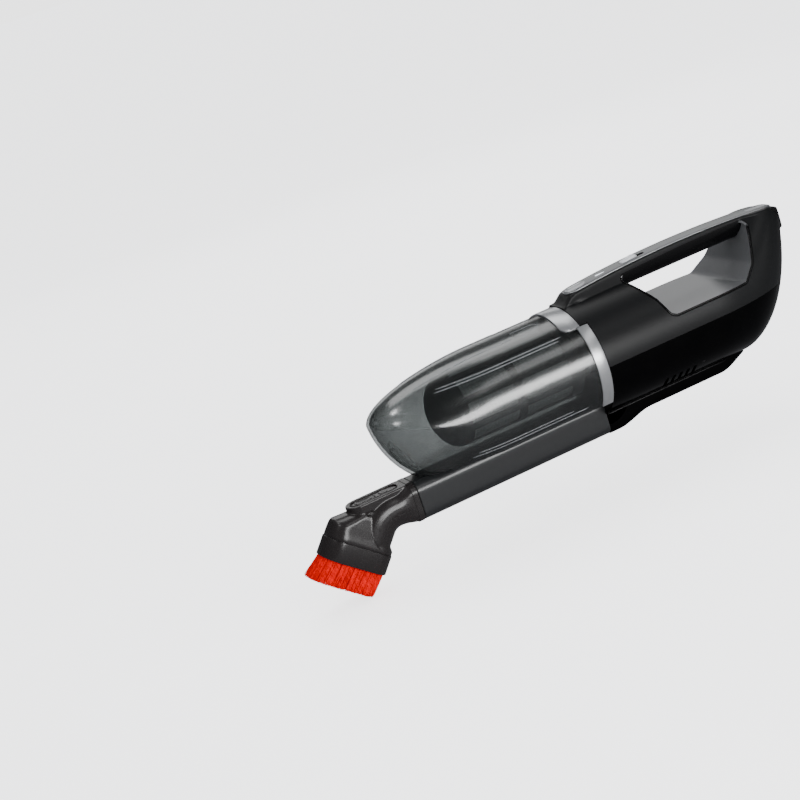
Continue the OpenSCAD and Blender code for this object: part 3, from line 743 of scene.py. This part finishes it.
def make_liner():
    """The liner of the finger opening, the dark lips round it and the bar over it."""
    inner, outer = (resample(outline(OPENING, grow), 150) for grow in (0, LINER_T - 0.1))

    def reach(x, z, drop):
        """How far out the liner comes: to the skin, but inside the bar where it runs along it."""
        hidden = smooth((z - 136) / 3) * smooth((x - 62) / 4) * smooth((197 - x) / 4)
        return (side(x, z) - drop) * (1 - hidden) + 8 * hidden

    rings = []
    for ring, s, drop in ((inner, -1, 0.5), (outer, -1, 0.9), (outer, 1, 0.9), (inner, 1, 0.5)):
        rings.append([(x, s * reach(x, z, drop), z) for x, z in ring])
    inside = rings[3], rings[0]
    across = [[tuple(a + (b - a) * k / 12 for a, b in zip(p, q)) for p, q in zip(*inside)]
              for k in range(1, 12)]
    liner = loft("finger_liner_skin", rings + across, loop=True, sharp=50)
    finish(liner, "liner", "motor_body", "finger_liner")
    lips = []
    around = resample(outline(OPENING, 1.0), 220)
    first = next(i for i, p in enumerate(around) if p[1] > 138.5)
    last = max(i for i, p in enumerate(around) if p[1] > 138.5)
    for s in (-1, 1):
        path = [(x, s * (side(x, z) - 0.5), z) for x, z in around[last + 1:] + around[:first]]
        lips.append(bead("lip", path, 1.15, sides=12))
    finish(join("opening_lips", lips), "body_upper", "motor_body", look="black_plastic")
    make_bar()


def make_bar():
    """The handle's bar over the opening: flat under the strip, with sides that turn in to its underside."""
    rings = []
    for k in range(41):
        x = BAR[0] + (BAR[1] - BAR[0]) * k / 40
        top = spine_z(x) - 1.0
        deep = top - BAR_LOW
        half = [(11.5, top), (12.9, top - 1.2), (13.05, top - 4)]
        for degrees in range(8, 89, 8):
            a = radians(degrees)
            half.append((13.05 * cos(a) ** 0.75, top - 4 - (deep - 4) * sin(a)))
        rings.append(both_sides(x, half, BAR_LOW))
    finish(loft("handle_bar", rings), "body_upper", "motor_body", look="black_plastic")


def resample(ring, count):
    """The same closed outline with that many points, evenly along it."""
    pts = [Vector(p) for p in ring] + [Vector(ring[0])]
    lengths = [0.0]
    for p, q in zip(pts, pts[1:]):
        lengths.append(lengths[-1] + (q - p).length)
    out, i = [], 0
    for k in range(count):
        want = lengths[-1] * k / count
        while lengths[i + 1] < want:
            i += 1
        f = (want - lengths[i]) / (lengths[i + 1] - lengths[i])
        out.append(tuple(pts[i] + (pts[i + 1] - pts[i]) * f))
    return out


def keel_low(x):
    """The keel's underside: shallow under the duct, then a long flat, then a lift into the tail."""
    duct = 8 * smooth((x - 12) / 38)
    return duct + 13 * smooth((x - 134) / 40)


def make_keel():
    """The cover under the duct and the motor, with a bead along each side."""
    rings = []
    for x in [0.6, 1.4] + [2 + 4 * i for i in range(41)]:
        low = keel_low(x) + (0.4 if x < 1 else 0)
        right = [(KEEL_HW, 30), (KEEL_HW, low + KEEL_R + 4)]
        right += arc(KEEL_HW - KEEL_R, low + KEEL_R, KEEL_R, 0, -90, 8)
        rings.append(both_sides(x, right))
    keel = loft("keel_skin", rings)
    keel = cut(keel, [rod_x("barrel", -2, 200, BARREL_R - 0.6, 0, AXIS_Z, 128),
                      rod_x("mouth", -2, 6, 15.5, 0, BORE_Z)])
    finish(settle(keel, 30), "body_lower", "motor_body", "keel_cover")
    lines = []
    for s in (-1, 1):
        path = [(x, s * (KEEL_HW + 0.2), 20.4 + 0.1 * sin(x / 40)) for x in range(2, 146, 6)]
        lines.append(bead("line", path, 0.9))
    finish(join("keel_beads", lines), "body_lower", "motor_body", look="black_plastic")
    step = bead("tail_step", [(199, y, body_bottom(199) - 0.1) for y in range(-9, 10, 3)], 1.2)
    finish(step, "body_lower", "motor_body")


def make_strip():
    """The control strip on the spine, its bright edge and the parts set into it."""
    rings = []
    x0, x1 = STRIP
    xs = [x0 + STRIP_HW * (1 - cos(radians(a))) for a in range(4, 91, 8)]
    xs += [20 + 6 * i for i in range(34)]
    xs += [x1 - 8 * (1 - sin(radians(a))) for a in range(0, 87, 8)]
    for x in xs:
        u = clamp01((x0 + STRIP_HW - x) / STRIP_HW)
        v = clamp01((x - x1 + 8) / 8)
        hw = STRIP_HW * sqrt(max(0.002, 1 - u * u)) * sqrt(max(0.02, 1 - 0.6 * v * v))
        top, low = spine_z(x) + 0.5, spine_z(x) - 2.6
        half = [(hw - 0.5, low), (hw, low + 0.4), (hw, top - 0.7), (hw - 0.35, top - 0.18), (hw - 1.0, top),
                (hw * 0.5, top + 0.12)]
        rings.append(both_sides(x, half, top + 0.16) + [(x, 0, low)])
    strip = loft("control_strip_skin", rings)
    wells = ((BUTTON_X, *BUTTON_WELL), (SLIDER_X, *SLIDER_WELL), (LED_X, *[d + 0.1 for d in LED]),
             (INLAY_X, *[d + 0.1 for d in INLAY]))
    strip = cut(strip, [prism("well", stadium_outline(*well), 120, 160) for well in wells])
    finish(settle(strip, 30), "strip", "motor_body", "control_strip")

    wide = STRIP_HW + 0.25
    flank = [(x, wide) for x in range(232, 16, -6)]
    path = flank + [(p[0], p[1]) for p in arc(x0 + STRIP_HW, 0, wide, 90, 270, 24)]
    path += [(x, -y) for x, y in reversed(flank)]
    edge = bead("strip_edge", [(x, y, spine_z(x) + 0.15) for x, y in path], 0.45)
    finish(edge, "bright_trim", "motor_body")

    def on_spine(x):
        return lambda px: spine_z(px) - spine_z(x)

    z = spine_z(LED_X)
    lens = oval_cap("led_lens_skin", LED_X, *LED,
                    [(0, z - 1.8), (0, z + 0.5), (0.3, z + 0.7), (0.8, z + 0.78)])
    finish(lens, "lens", "motor_body", "led_lens")
    z = spine_z(INLAY_X)
    inlay = oval_cap("rear_inlay_skin", INLAY_X, *INLAY,
                     [(0, z - 1.8), (0, z + 0.5), (0.35, z + 0.85), (0.9, z + 0.9), (1.6, z + 0.55),
                      (3.0, z + 0.4)], on_spine(INLAY_X))
    finish(inlay, "bright_trim", "motor_body", "rear_inlay")
    z = spine_z(BUTTON_X)
    button = oval_cap("release_button_skin", BUTTON_X, *BUTTON,
                      [(1.0, z - 1.8), (0, z - 1.6), (0, z + 0.7), (0.35, z + 1.15), (0.9, z + 1.35),
                       (1.7, z + 1.2), (2.6, z + 0.75), (4.2, z + 0.6)], on_spine(BUTTON_X))
    finish(button, "bright_trim", "bin_release", "release_button")
    make_slider()


def make_slider():
    """The power slider: a stem through its well and a thumb piece with ridges."""
    z = spine_z(SLIDER_REST)
    skirt = oval_cap("slider_skirt", SLIDER_REST, 19, 7, [(0, z - 4.4), (0, z + 1.3)])

    def hump(px):
        t = (px - SLIDER_REST) / 8.5
        return 1.45 * smooth((t + 0.2) / 0.9) * (1 - 0.8 * smooth((t - 0.72) / 0.4))

    def clear(px):
        """Just above the strip wherever the slider's travel takes this point."""
        return spine_z(px + SLIDER_TRAVEL) + 0.75

    levels = [(0, z + 1.42), (0.3, z + 1.75), (0.9, z + 2.0), (2.2, z + 2.1), (3.6, z + 2.1)]
    rings = [[(px, py, clear(px)) for px, py in stadium_outline(SLIDER_REST, *SLIDER)]]
    for inset, level in levels:
        lift = 1.0 if level > z + 1.4 else 0.0
        rings.append([(px, py, level + lift * hump(px))
                      for px, py in stadium_outline(SLIDER_REST, *[d - 2 * inset for d in SLIDER])])
    cap = loft("slider_cap", rings)
    ridges = []
    for i in range(-2, 2):
        x = SLIDER_REST + i * 2.4 - 1.2
        ridges.append(bead("ridge", [(x, y, z + 2.0 + hump(x)) for y in (-3, -1.5, 0, 1.5, 3)], 0.4))
    finish(join("power_slider_skin", [skirt, cap, *ridges]), "bright_trim", "power_switch", "power_slider",
           look="switch")


def make_rear_cap():
    """The cap at the handle's rear end, with rounded corners and edges."""
    x0, x1 = CAP_X
    rings = []
    for z, inset in ((119, 1.2), (119.6, 0.4), (120.6, 0), (128, 0), (135, 0), (139.2, 0), (140.4, 0.5),
                     (141, 1.4)):
        xe, w = x1 - inset - 0.5 * smooth((z - 131) / 10), CAP_HW - inset
        ring = [(x0, -w)] + arc(xe - CAP_R, CAP_R - w, CAP_R, -90, 0, 7)
        ring += arc(xe - CAP_R, w - CAP_R, CAP_R, 0, 90, 7) + [(x0, w)]
        rings.append([(x, y, z) for x, y in ring])
    finish(loft("rear_cap_skin", rings), "black_plastic", "motor_body", "rear_cap")


# ---- dust bin ----
def bin_ring(x, length, r, low, count=104):
    """One section of the bin: an oval that gets a level crease and a raised middle towards the nose."""
    crease = AXIS_Z + (PROW_Z - AXIS_Z) * smooth((-x - 120) / 110)
    u = clamp01((-x - NOSE_FROM) / (length - NOSE_FROM))
    d = clamp01((-x - length + 66) / 66)
    up = (AXIS_Z + r - PROW_Z) * sqrt(1 - u * u) + PROW_Z - crease
    down = crease - (PROW_Z - (PROW_Z - AXIS_Z + r) * (1 - d ** 1.8) ** (1 / 1.8))
    half = r * (1 - u ** 2.3) ** (1 / 2.3)
    power = 1 + 0.55 * smooth((-x - 110) / 90)
    ring = []
    for j in range(count):
        a = 2 * pi * j / count
        lift = abs(sin(a)) ** power
        z = crease + (up if sin(a) > 0 else -down) * lift
        ring.append((x, half * cos(a), max(low, z)))
    return ring


def bin_point(x, degrees, s, grow=0.0):
    """A point on the bin's skin: degrees up from its side, on side s."""
    ring = bin_ring(x, BIN_LEN, BIN_R + grow, BIN_FLOOR, 360)
    p = ring[int(round(degrees)) % 360]
    return (p[0], s * p[1], p[2])


def bin_line(z, x0, x1, s, steps=30):
    """A level line on side s of the bin's skin, from x0 to x1 at that height."""
    line = []
    for k in range(steps + 1):
        x = x0 + (x1 - x0) * k / steps
        ring = bin_ring(x, BIN_LEN, BIN_R + 0.1, BIN_FLOOR, 360)
        rising = [ring[a % 360] for a in range(-89, 91)]
        p, q = next((p, q) for p, q in zip(rising, rising[1:]) if q[2] > z)
        y = p[1] + (q[1] - p[1]) * (z - p[2]) / (q[2] - p[2])
        line.append((x, s * y, z))
    return line


def make_bin():
    """The clear bin as one thin wall, open at the rear, and its ribs."""
    def stations(first, length):
        rear = -NOSE_FROM + 20
        return [first, rear / 2, rear] + [rear - (length + rear) * sin(radians(89.4 * i / 40))
                                          for i in range(1, 41)]
    outer = [bin_ring(x, BIN_LEN, BIN_R, BIN_FLOOR) for x in stations(-0.4, BIN_LEN)]
    inner = [bin_ring(x, BIN_LEN - 3, BIN_R - BIN_WALL, BIN_FLOOR + BIN_WALL)
             for x in stations(-0.4, BIN_LEN - 3)]
    shell = loft("bin_shell_skin", list(reversed(outer)) + inner, sharp=24)
    finish(shell, "clear_bin", "dust_bin", "bin_shell")
    make_ribs()


def make_ribs():
    """Moulded ribs: a fine one near the top, a close pair above the middle and a pair near the floor.
    The table gives the height, both ends and the bead's radius of each straight one."""
    ribs = []
    for s in (-1, 1):
        fine = [bin_point(-176 + 106 * k / 30, 69, s, 0.1) for k in range(31)]
        ribs.append(bead("rib", fine, 0.45, sides=8))
        for z, x0, x1, r in ((116.2, -160, -30, 0.5), (114, -163, -34, 0.5), (48.4, -144, -44, 0.42),
                             (45.2, -150, -28, 0.42)):
            ribs.append(bead("rib", bin_line(z, x0, x1, s), r, sides=8))
    latch = [(-66, 70), (-44, 70), (-40, 72), (-40, 77), (-44, 79), (-66, 79)]
    for s in (-1, 1):
        ribs.append(bead("latch_rib", [bin_point(x, a, s, -0.2) for x, a in latch], 0.4, closed=True,
                         sides=8))
    # The ribs take the lighter rib look: painted highlight along them.
    finish(join("bin_ribs", ribs), "clear_bin", "dust_bin", look="rib")


def round_strip(name, a0, a1, profile, steps=48):
    """A profile of (x, r) swept round the barrel's axis; profile is called with each angle from the top."""
    rings = []
    for k in range(steps + 1):
        a = a0 + (a1 - a0) * k / steps
        t = radians(a)
        rings.append([(x, r * sin(t), AXIS_Z + r * cos(t)) for x, r in profile(a)])
    return loft(name, rings, sharp=28)


def hoop(x0, x1, top):
    """(x, r) points of a band round the bin from x0 to x1, with eased edges at radius top."""
    low = BIN_R + 0.08
    return [(x0, low), (x0, top - 0.5), (x0 + 0.25, top - 0.15), (x0 + 0.8, top), ((x0 + x1) / 2, top),
            (x1 - 0.8, top), (x1 - 0.25, top - 0.15), (x1, top - 0.5), (x1, low)]


def make_trim():
    """The ring, open under the bin and where the wider plate covers it, and a dark strip of painted shade
    in the gap behind the ring.
    """
    def band(_):
        return hoop(-RING_W, -0.4, BARREL_R + 0.4)
    low = 180 - math.degrees(math.acos((AXIS_Z - BIN_FLOOR) / (BARREL_R + 0.4)))
    arcs = [round_strip("ring", s * (PLATE_HALF + 0.5), s * low, band) for s in (-1, 1)]
    finish(join("trim_ring_skin", arcs), "bright_trim", "dust_bin", "trim_ring")

    def plate(a):
        corner = clamp01((abs(a) - PLATE_HALF + 8) / 8)
        front = PLATE_X[0] + 8 * (1 - sqrt(max(0.0, 1 - corner ** 2)))
        return hoop(front, PLATE_X[1], BARREL_R + 0.6)
    finish(round_strip("top_plate_skin", -PLATE_HALF, PLATE_HALF, plate, 80), "bright_trim", "dust_bin",
           "top_plate")

    # A dark strip in the rubber look closes the gap between the ring and the body: painted shade in the
    # gap.
    def shadow(_):
        return [(-0.55, BIN_R - 1), (-0.55, BARREL_R - 0.25), (-0.1, BARREL_R - 0.25), (-0.1, BIN_R - 1)]
    gaps = [round_strip("gap", s * (PLATE_HALF + 0.5), s * low, shadow) for s in (-1, 1)]
    finish(join("ring_gap_painted_shade", gaps), "rubber", "dust_bin")


# ---- inlet tube ----
def tube_outline(inset=0.0):
    """(y, z) of the tube: a rounded square with a flat top."""
    w, h, r = TUBE_HW - inset, TUBE_H - inset, TUBE_R - inset
    half = arc(w - r, inset + r, r, -90, 0, 10)
    half += [(w, 14), (w, 19), (w, 23)]
    r += 1.5
    half += arc(w - r, h - r, r, 0, 90, 14) + [(4, h)]
    return half + [(-y, z) for y, z in reversed(half)]


def make_tube():
    """The inlet tube with its round bore."""
    outer = tube_outline()
    bore = []
    for y, z in outer:
        a = math.atan2(z - BORE_Z, y)
        bore.append((BORE_R * cos(a), BORE_Z + BORE_R * sin(a)))
    x0, x1 = -TUBE_LEN, 0.6
    soft = [(x0, tube_outline(0.5)), (x0 + 0.5, outer)]
    rings = [[(x, y, z) for y, z in ring] for x, ring in soft]
    rings += [[(x, y, z) for y, z in outer] for x in (-150, -100, -50, x1)]
    rings += [[(x, y, z) for y, z in bore] for x in (x1, x0)]
    tube = loft("inlet_tube_skin", rings, loop=True)
    finish(settle(tube, 20), "tube_plastic", "motor_body", "inlet_tube")


# ---- brush tool ----
TILT = radians(BRUSH_TILT)


def brush_point(x, y, z):
    """From the brush's own frame, whose z runs down the pipe and x forward across it."""
    return (ELBOW_X - x * sin(TILT) - z * cos(TILT), y,
            BORE_Z + x * cos(TILT) - z * sin(TILT))


def rounded(x, length, width, r):
    """(x, y) points of a rounded rectangle with its middle at x."""
    hx, hy = length / 2 - r, width / 2 - r
    ring = []
    for sx, sy, a in ((1, -1, -90), (1, 1, 0), (-1, 1, 90), (-1, -1, 180)):
        ring += arc(x + sx * hx, sy * hy, r, a, a + 90, 12)
    return ring


def skirt_outline(inset=0.0):
    return rounded(SKIRT_SHIFT, SKIRT[0] - 2 * inset, SKIRT[1] - 2 * inset, SKIRT[2] - inset)


def make_tool():
    """The brush tool: neck, elbow, pipe and hood melted into one skin, then bored out."""
    rim = tube_outline(0.0)
    phases = [math.atan2(z - BORE_Z, y) for y, z in rim]
    pipe = [(PIPE_R * cos(a), PIPE_R * sin(a)) for a in phases]
    wide = [(y, z * (1.14 if z > 0 else 1)) for y, z in pipe]

    def section(t):
        """(across, up) points that turn from the tube's outline to the round pipe as t goes to 1."""
        return [((1 - t) * y + t * p[0], (1 - t) * (z - BORE_Z) + t * p[1]) for (y, z), p in zip(rim, pipe)]

    rings = []
    for x in (NECK_X, -206, -208.5, -211, -214, -217, -220, -223):
        rings.append([(x, y, BORE_Z + z) for y, z in section(smooth((-x - 206) / 18))])
    for k in range(15):
        a = TILT * k / 14
        centre = Vector((ELBOW_X + ELBOW_CUT - ELBOW_R * sin(a), 0,
                         BORE_Z - ELBOW_R + ELBOW_R * cos(a)))
        outward = Vector((-sin(a), 0, cos(a)))
        rings.append([tuple(centre + outward * ((1 - k / 14) * z + k / 14 * far) + Vector((0, y, 0)))
                      for (y, z), (_, far) in zip(pipe, wide)])
    rings += [[brush_point(z, y, depth) for y, z in wide] for depth in (ELBOW_CUT + 4, THROAT - 6, THROAT)]
    elbow = loft("elbow", rings)

    # depth, rear and front edge, width and corner radius of the hood's sections, down to the skirt
    levels = ((4, -5, 26, 27, 9), (8, -7, 31, 29.5, 11), (17.5, -12, 43.6, 33, 13.5),
              (20, -13.5, 44.8, 33.8, 14), (25, -17, 45.3, 35.4, 15),
              (THROAT - 3, -21.4, 45.4, 37.8, 16.4), (THROAT, -21.4, 45.4, 37.8, 16.4))
    hood = loft("hood", [[brush_point(x, y, z) for x, y in rounded((lo + hi) / 2, hi - lo, width, r)]
                         for z, lo, hi, width, r in levels])
    plate = prism("plate", stadium_outline(-235.2, 65.6, 25), 29, TUBE_H)
    boss = loft("boss", [[(x, y, z) for x, y in arc(-255.5, 0, r, 0, 352.5, 47)]
                         for z, r in ((12, 10.2), (26, 11.2), (33, 11.6), (37.4, 12.4))])
    beyond = box_solid("beyond", (NECK_X, -60, -20), (-150, 60, 80))
    tool = join("tool_body_skin", [elbow, hood, plate, boss])
    remesh = tool.modifiers.new("remesh", "REMESH")
    remesh.mode = "VOXEL"
    remesh.voxel_size = 0.55 * MM
    relax = tool.modifiers.new("relax", "SMOOTH")
    relax.factor = 0.5
    relax.iterations = 12
    apply_all(tool)
    well = prism("well", stadium_outline(LEVER_MID, LEVER_LEN + 1.4, 13.4), LEVER_Z - 3.4, 60)
    slot = box_solid("slot", (LEVER_X[1] - 5, -5.4, LEVER_Z - 3.2), (-180, 5.4, LEVER_Z + 1.0))
    bore = rod_x("bore", ELBOW_X + ELBOW_CUT, -150, BORE_R - 2.4, 0, BORE_Z)
    throat = loft("throat", [[brush_point(p[1], p[0], z) for p in arc(0, 0, BORE_R - 2.4, 0, 354, 59)]
                             for z in (ELBOW_CUT - 6, THROAT + 5)])
    cut(tool, [beyond, well, slot, bore, throat])
    finish(settle(tool, 58), "tool_plastic", "brush_tool", "tool_body")

    spigot = loft("tool_spigot", [[(x, r * cos(a), BORE_Z + r * sin(a))
                                   for a in [2 * pi * k / 64 for k in range(64)]]
                                  for x, r in ((NECK_X - 2, 13.4), (-172.4, 13.4), (-171.4, 12.6),
                                               (-171.4, 11.2), (NECK_X - 2, 11.2))], loop=True)
    finish(spigot, "tool_plastic", "brush_tool")
    collar = loft("collar", [[(x, y, z) for y, z in tube_outline(grow)] for x, grow in
                             ((NECK_X, 1.2), (NECK_X, 0.1), (NECK_X - 0.5, -0.35), (NECK_X - 5.4, -0.35),
                              (NECK_X - 5.9, 0.0), (NECK_X - 5.9, 1.2))], loop=True)
    line = ((NECK_X - 6, 19), (-218, 18.8), (-226, 18.45), (-236, 18.45))
    seams = [bead("seam", [(x, s * y, 16) for x, y in line], 0.28, sides=6) for s in (-1, 1)]
    finish(join("tool_collar", [collar, *seams]), "tool_plastic", "brush_tool")
    edge = stadium_outline(LEVER_MID, LEVER_LEN + 2.4, 14.4)
    rim = bead("latch_rim", [(x, y, TUBE_H + 0.05) for x, y in edge], 0.55, closed=True)
    finish(rim, "tool_plastic", "brush_tool")
    make_lever()
    make_skirt()


def make_lever():
    """The latch lever in its well: base, thumb pad, heel and tail."""
    z = LEVER_Z
    base = oval_cap("base", LEVER_MID, LEVER_LEN, 12,
                    [(0.3, z - 0.85), (0, z - 0.6), (0, z + 0.8), (0.4, z + 1.15)])
    pad = oval_cap("pad", -250, 18, 10,
                   [(0, z + 1.0), (0.1, z + 1.3), (0.6, z + 1.65), (1.6, z + 1.72), (3.0, z + 1.3)])
    heel = oval_cap("heel", -229.5, 9, 9.4, [(0, z + 1.0), (0, z + 1.35), (0.5, z + 1.7)])
    waist = bead("waist", [(-238.5, y, z + 1.2) for y in (-4.5, -2, 0, 2, 4.5)], 0.55)
    tail = box_solid("tail", (LEVER_X[1] - 8, -5, z - 1.6), (NECK_X - 0.6, 5, z - 0.4))
    lever = join("latch_lever_skin", [base, pad, heel, waist, tail])
    finish(lever, "tool_plastic", "tool_latch", "latch_lever")


def make_skirt():
    """The skirt round the bristles, the deck above it and the hood's curved edges."""
    levels = [(0.5, THROAT + 0.45), (0.1, THROAT + 0.7), (0, THROAT + 1.2), (0, THROAT + SKIRT_H - 0.8),
              (0.3, THROAT + SKIRT_H - 0.1), (1.1, THROAT + SKIRT_H + 0.2), (1.9, THROAT + SKIRT_H - 0.1),
              (2.2, THROAT + SKIRT_H - 0.8), (2.2, THROAT + 0.45)]
    rings = [[brush_point(x, y, z) for x, y in skirt_outline(inset)] for inset, z in levels]
    skirt = loft("brush_skirt_skin", rings, loop=True)
    finish(skirt, "tool_plastic", "brush_tool", "brush_skirt")
    deck = loft("hood_deck", [[brush_point(x, y, z) for x, y in skirt_outline(inset)]
                              for inset, z in ((1.6, THROAT - 1), (1.4, THROAT + 0.9))])
    finish(deck, "tool_plastic", "brush_tool")
    curves = []
    for s in (-1, 1):
        path = []
        for k in range(15):
            t = k / 14
            angle = radians(52 - 64 * t)
            path.append(brush_point(PIPE_R * sin(angle) + 0.4, s * (PIPE_R * cos(angle) + 0.2),
                                    THROAT - 21 + 18.5 * t))
        curves.append(bead("curve", path, 0.6))
    finish(join("hood_edges", curves), "tool_plastic", "brush_tool")


def make_bristles():
    """Three rows of tufts round the skirt, each a bundle of tapered, slightly bent strands."""
    points, faces = [], []
    base_z, tip_z = THROAT + 10.2, THROAT + SKIRT_H + BRISTLE_LEN - 0.3
    lean = sin(radians(BRISTLE_LEAN)) * BRISTLE_LEN
    for inset, tufts, spread in TUFT_ROWS:
        feet = resample(skirt_outline(inset), tufts)
        tips = resample(skirt_outline(inset - 1.7), tufts)
        for foot, tip in zip(feet, tips):
            for _ in range(STRANDS):
                a, reach = random.uniform(0, 2 * pi), sqrt(random.random())
                off = (TUFT_R * reach * cos(a), TUFT_R * reach * sin(a))
                wander = (random.gauss(0, spread), random.gauss(0, spread))
                end_z = tip_z - 0.3 - abs(random.gauss(0, 0.55))
                start = (foot[0] + off[0], foot[1] + off[1], base_z)
                end = (tip[0] + 1.25 * off[0] + wander[0] + lean, tip[1] + 1.25 * off[1] + wander[1], end_z)
                strand(points, faces, start, end)
    brush = solid("bristles_skin", points, faces, sharp=80)
    finish(brush, "bristle", "brush_tool", "bristles")


def strand(points, faces, start, end, sides=5):
    """One tapered strand that curves a little outward on the way down, in the brush's own frame."""
    base = len(points)
    levels = ((0.0, 0.5), (0.27, 0.5), (0.62, 0.46), (0.85, 0.38), (1.0, 0.18))
    for t, r in levels:
        bow = clamp01((t - 0.2) / 0.8) ** 1.15
        cx = start[0] + (end[0] - start[0]) * bow
        cy = start[1] + (end[1] - start[1]) * bow
        cz = start[2] + (end[2] - start[2]) * t
        for k in range(sides):
            a = 2 * pi * k / sides
            points.append(brush_point(cx + r * cos(a), cy + r * sin(a), cz))
    for i in range(len(levels) - 1):
        for k in range(sides):
            p, q = base + i * sides + k, base + i * sides + (k + 1) % sides
            faces.append((p, q, q + sides, p + sides))
    faces.append(tuple(range(base, base + sides)))
    faces.append(tuple(range(base + (len(levels) - 1) * sides, base + len(levels) * sides)))


# ---- looks of the CAD nodes that stay ----
OWN_LOOKS = {"shell_screws": "dark_steel", "exhaust_filter": "foam"}


def dress_nodes():
    """Gives the CAD nodes their looks, by slot or by OWN_LOOKS."""
    for part in frame["record"]["subparts"]:
        node = frame["nodes"][part["node"]]
        node.data.materials.clear()
        look = OWN_LOOKS.get(part["node"], part["material_slot"])
        node.data.materials.append(LOOKS[look])


make_camera()
make_world()
make_floor(LOOKS["floor"])
make_lights()
dress_nodes()
make_body()
make_liner()
make_keel()
make_strip()
make_rear_cap()
make_bin()
make_trim()
make_tube()
make_tool()
make_bristles()
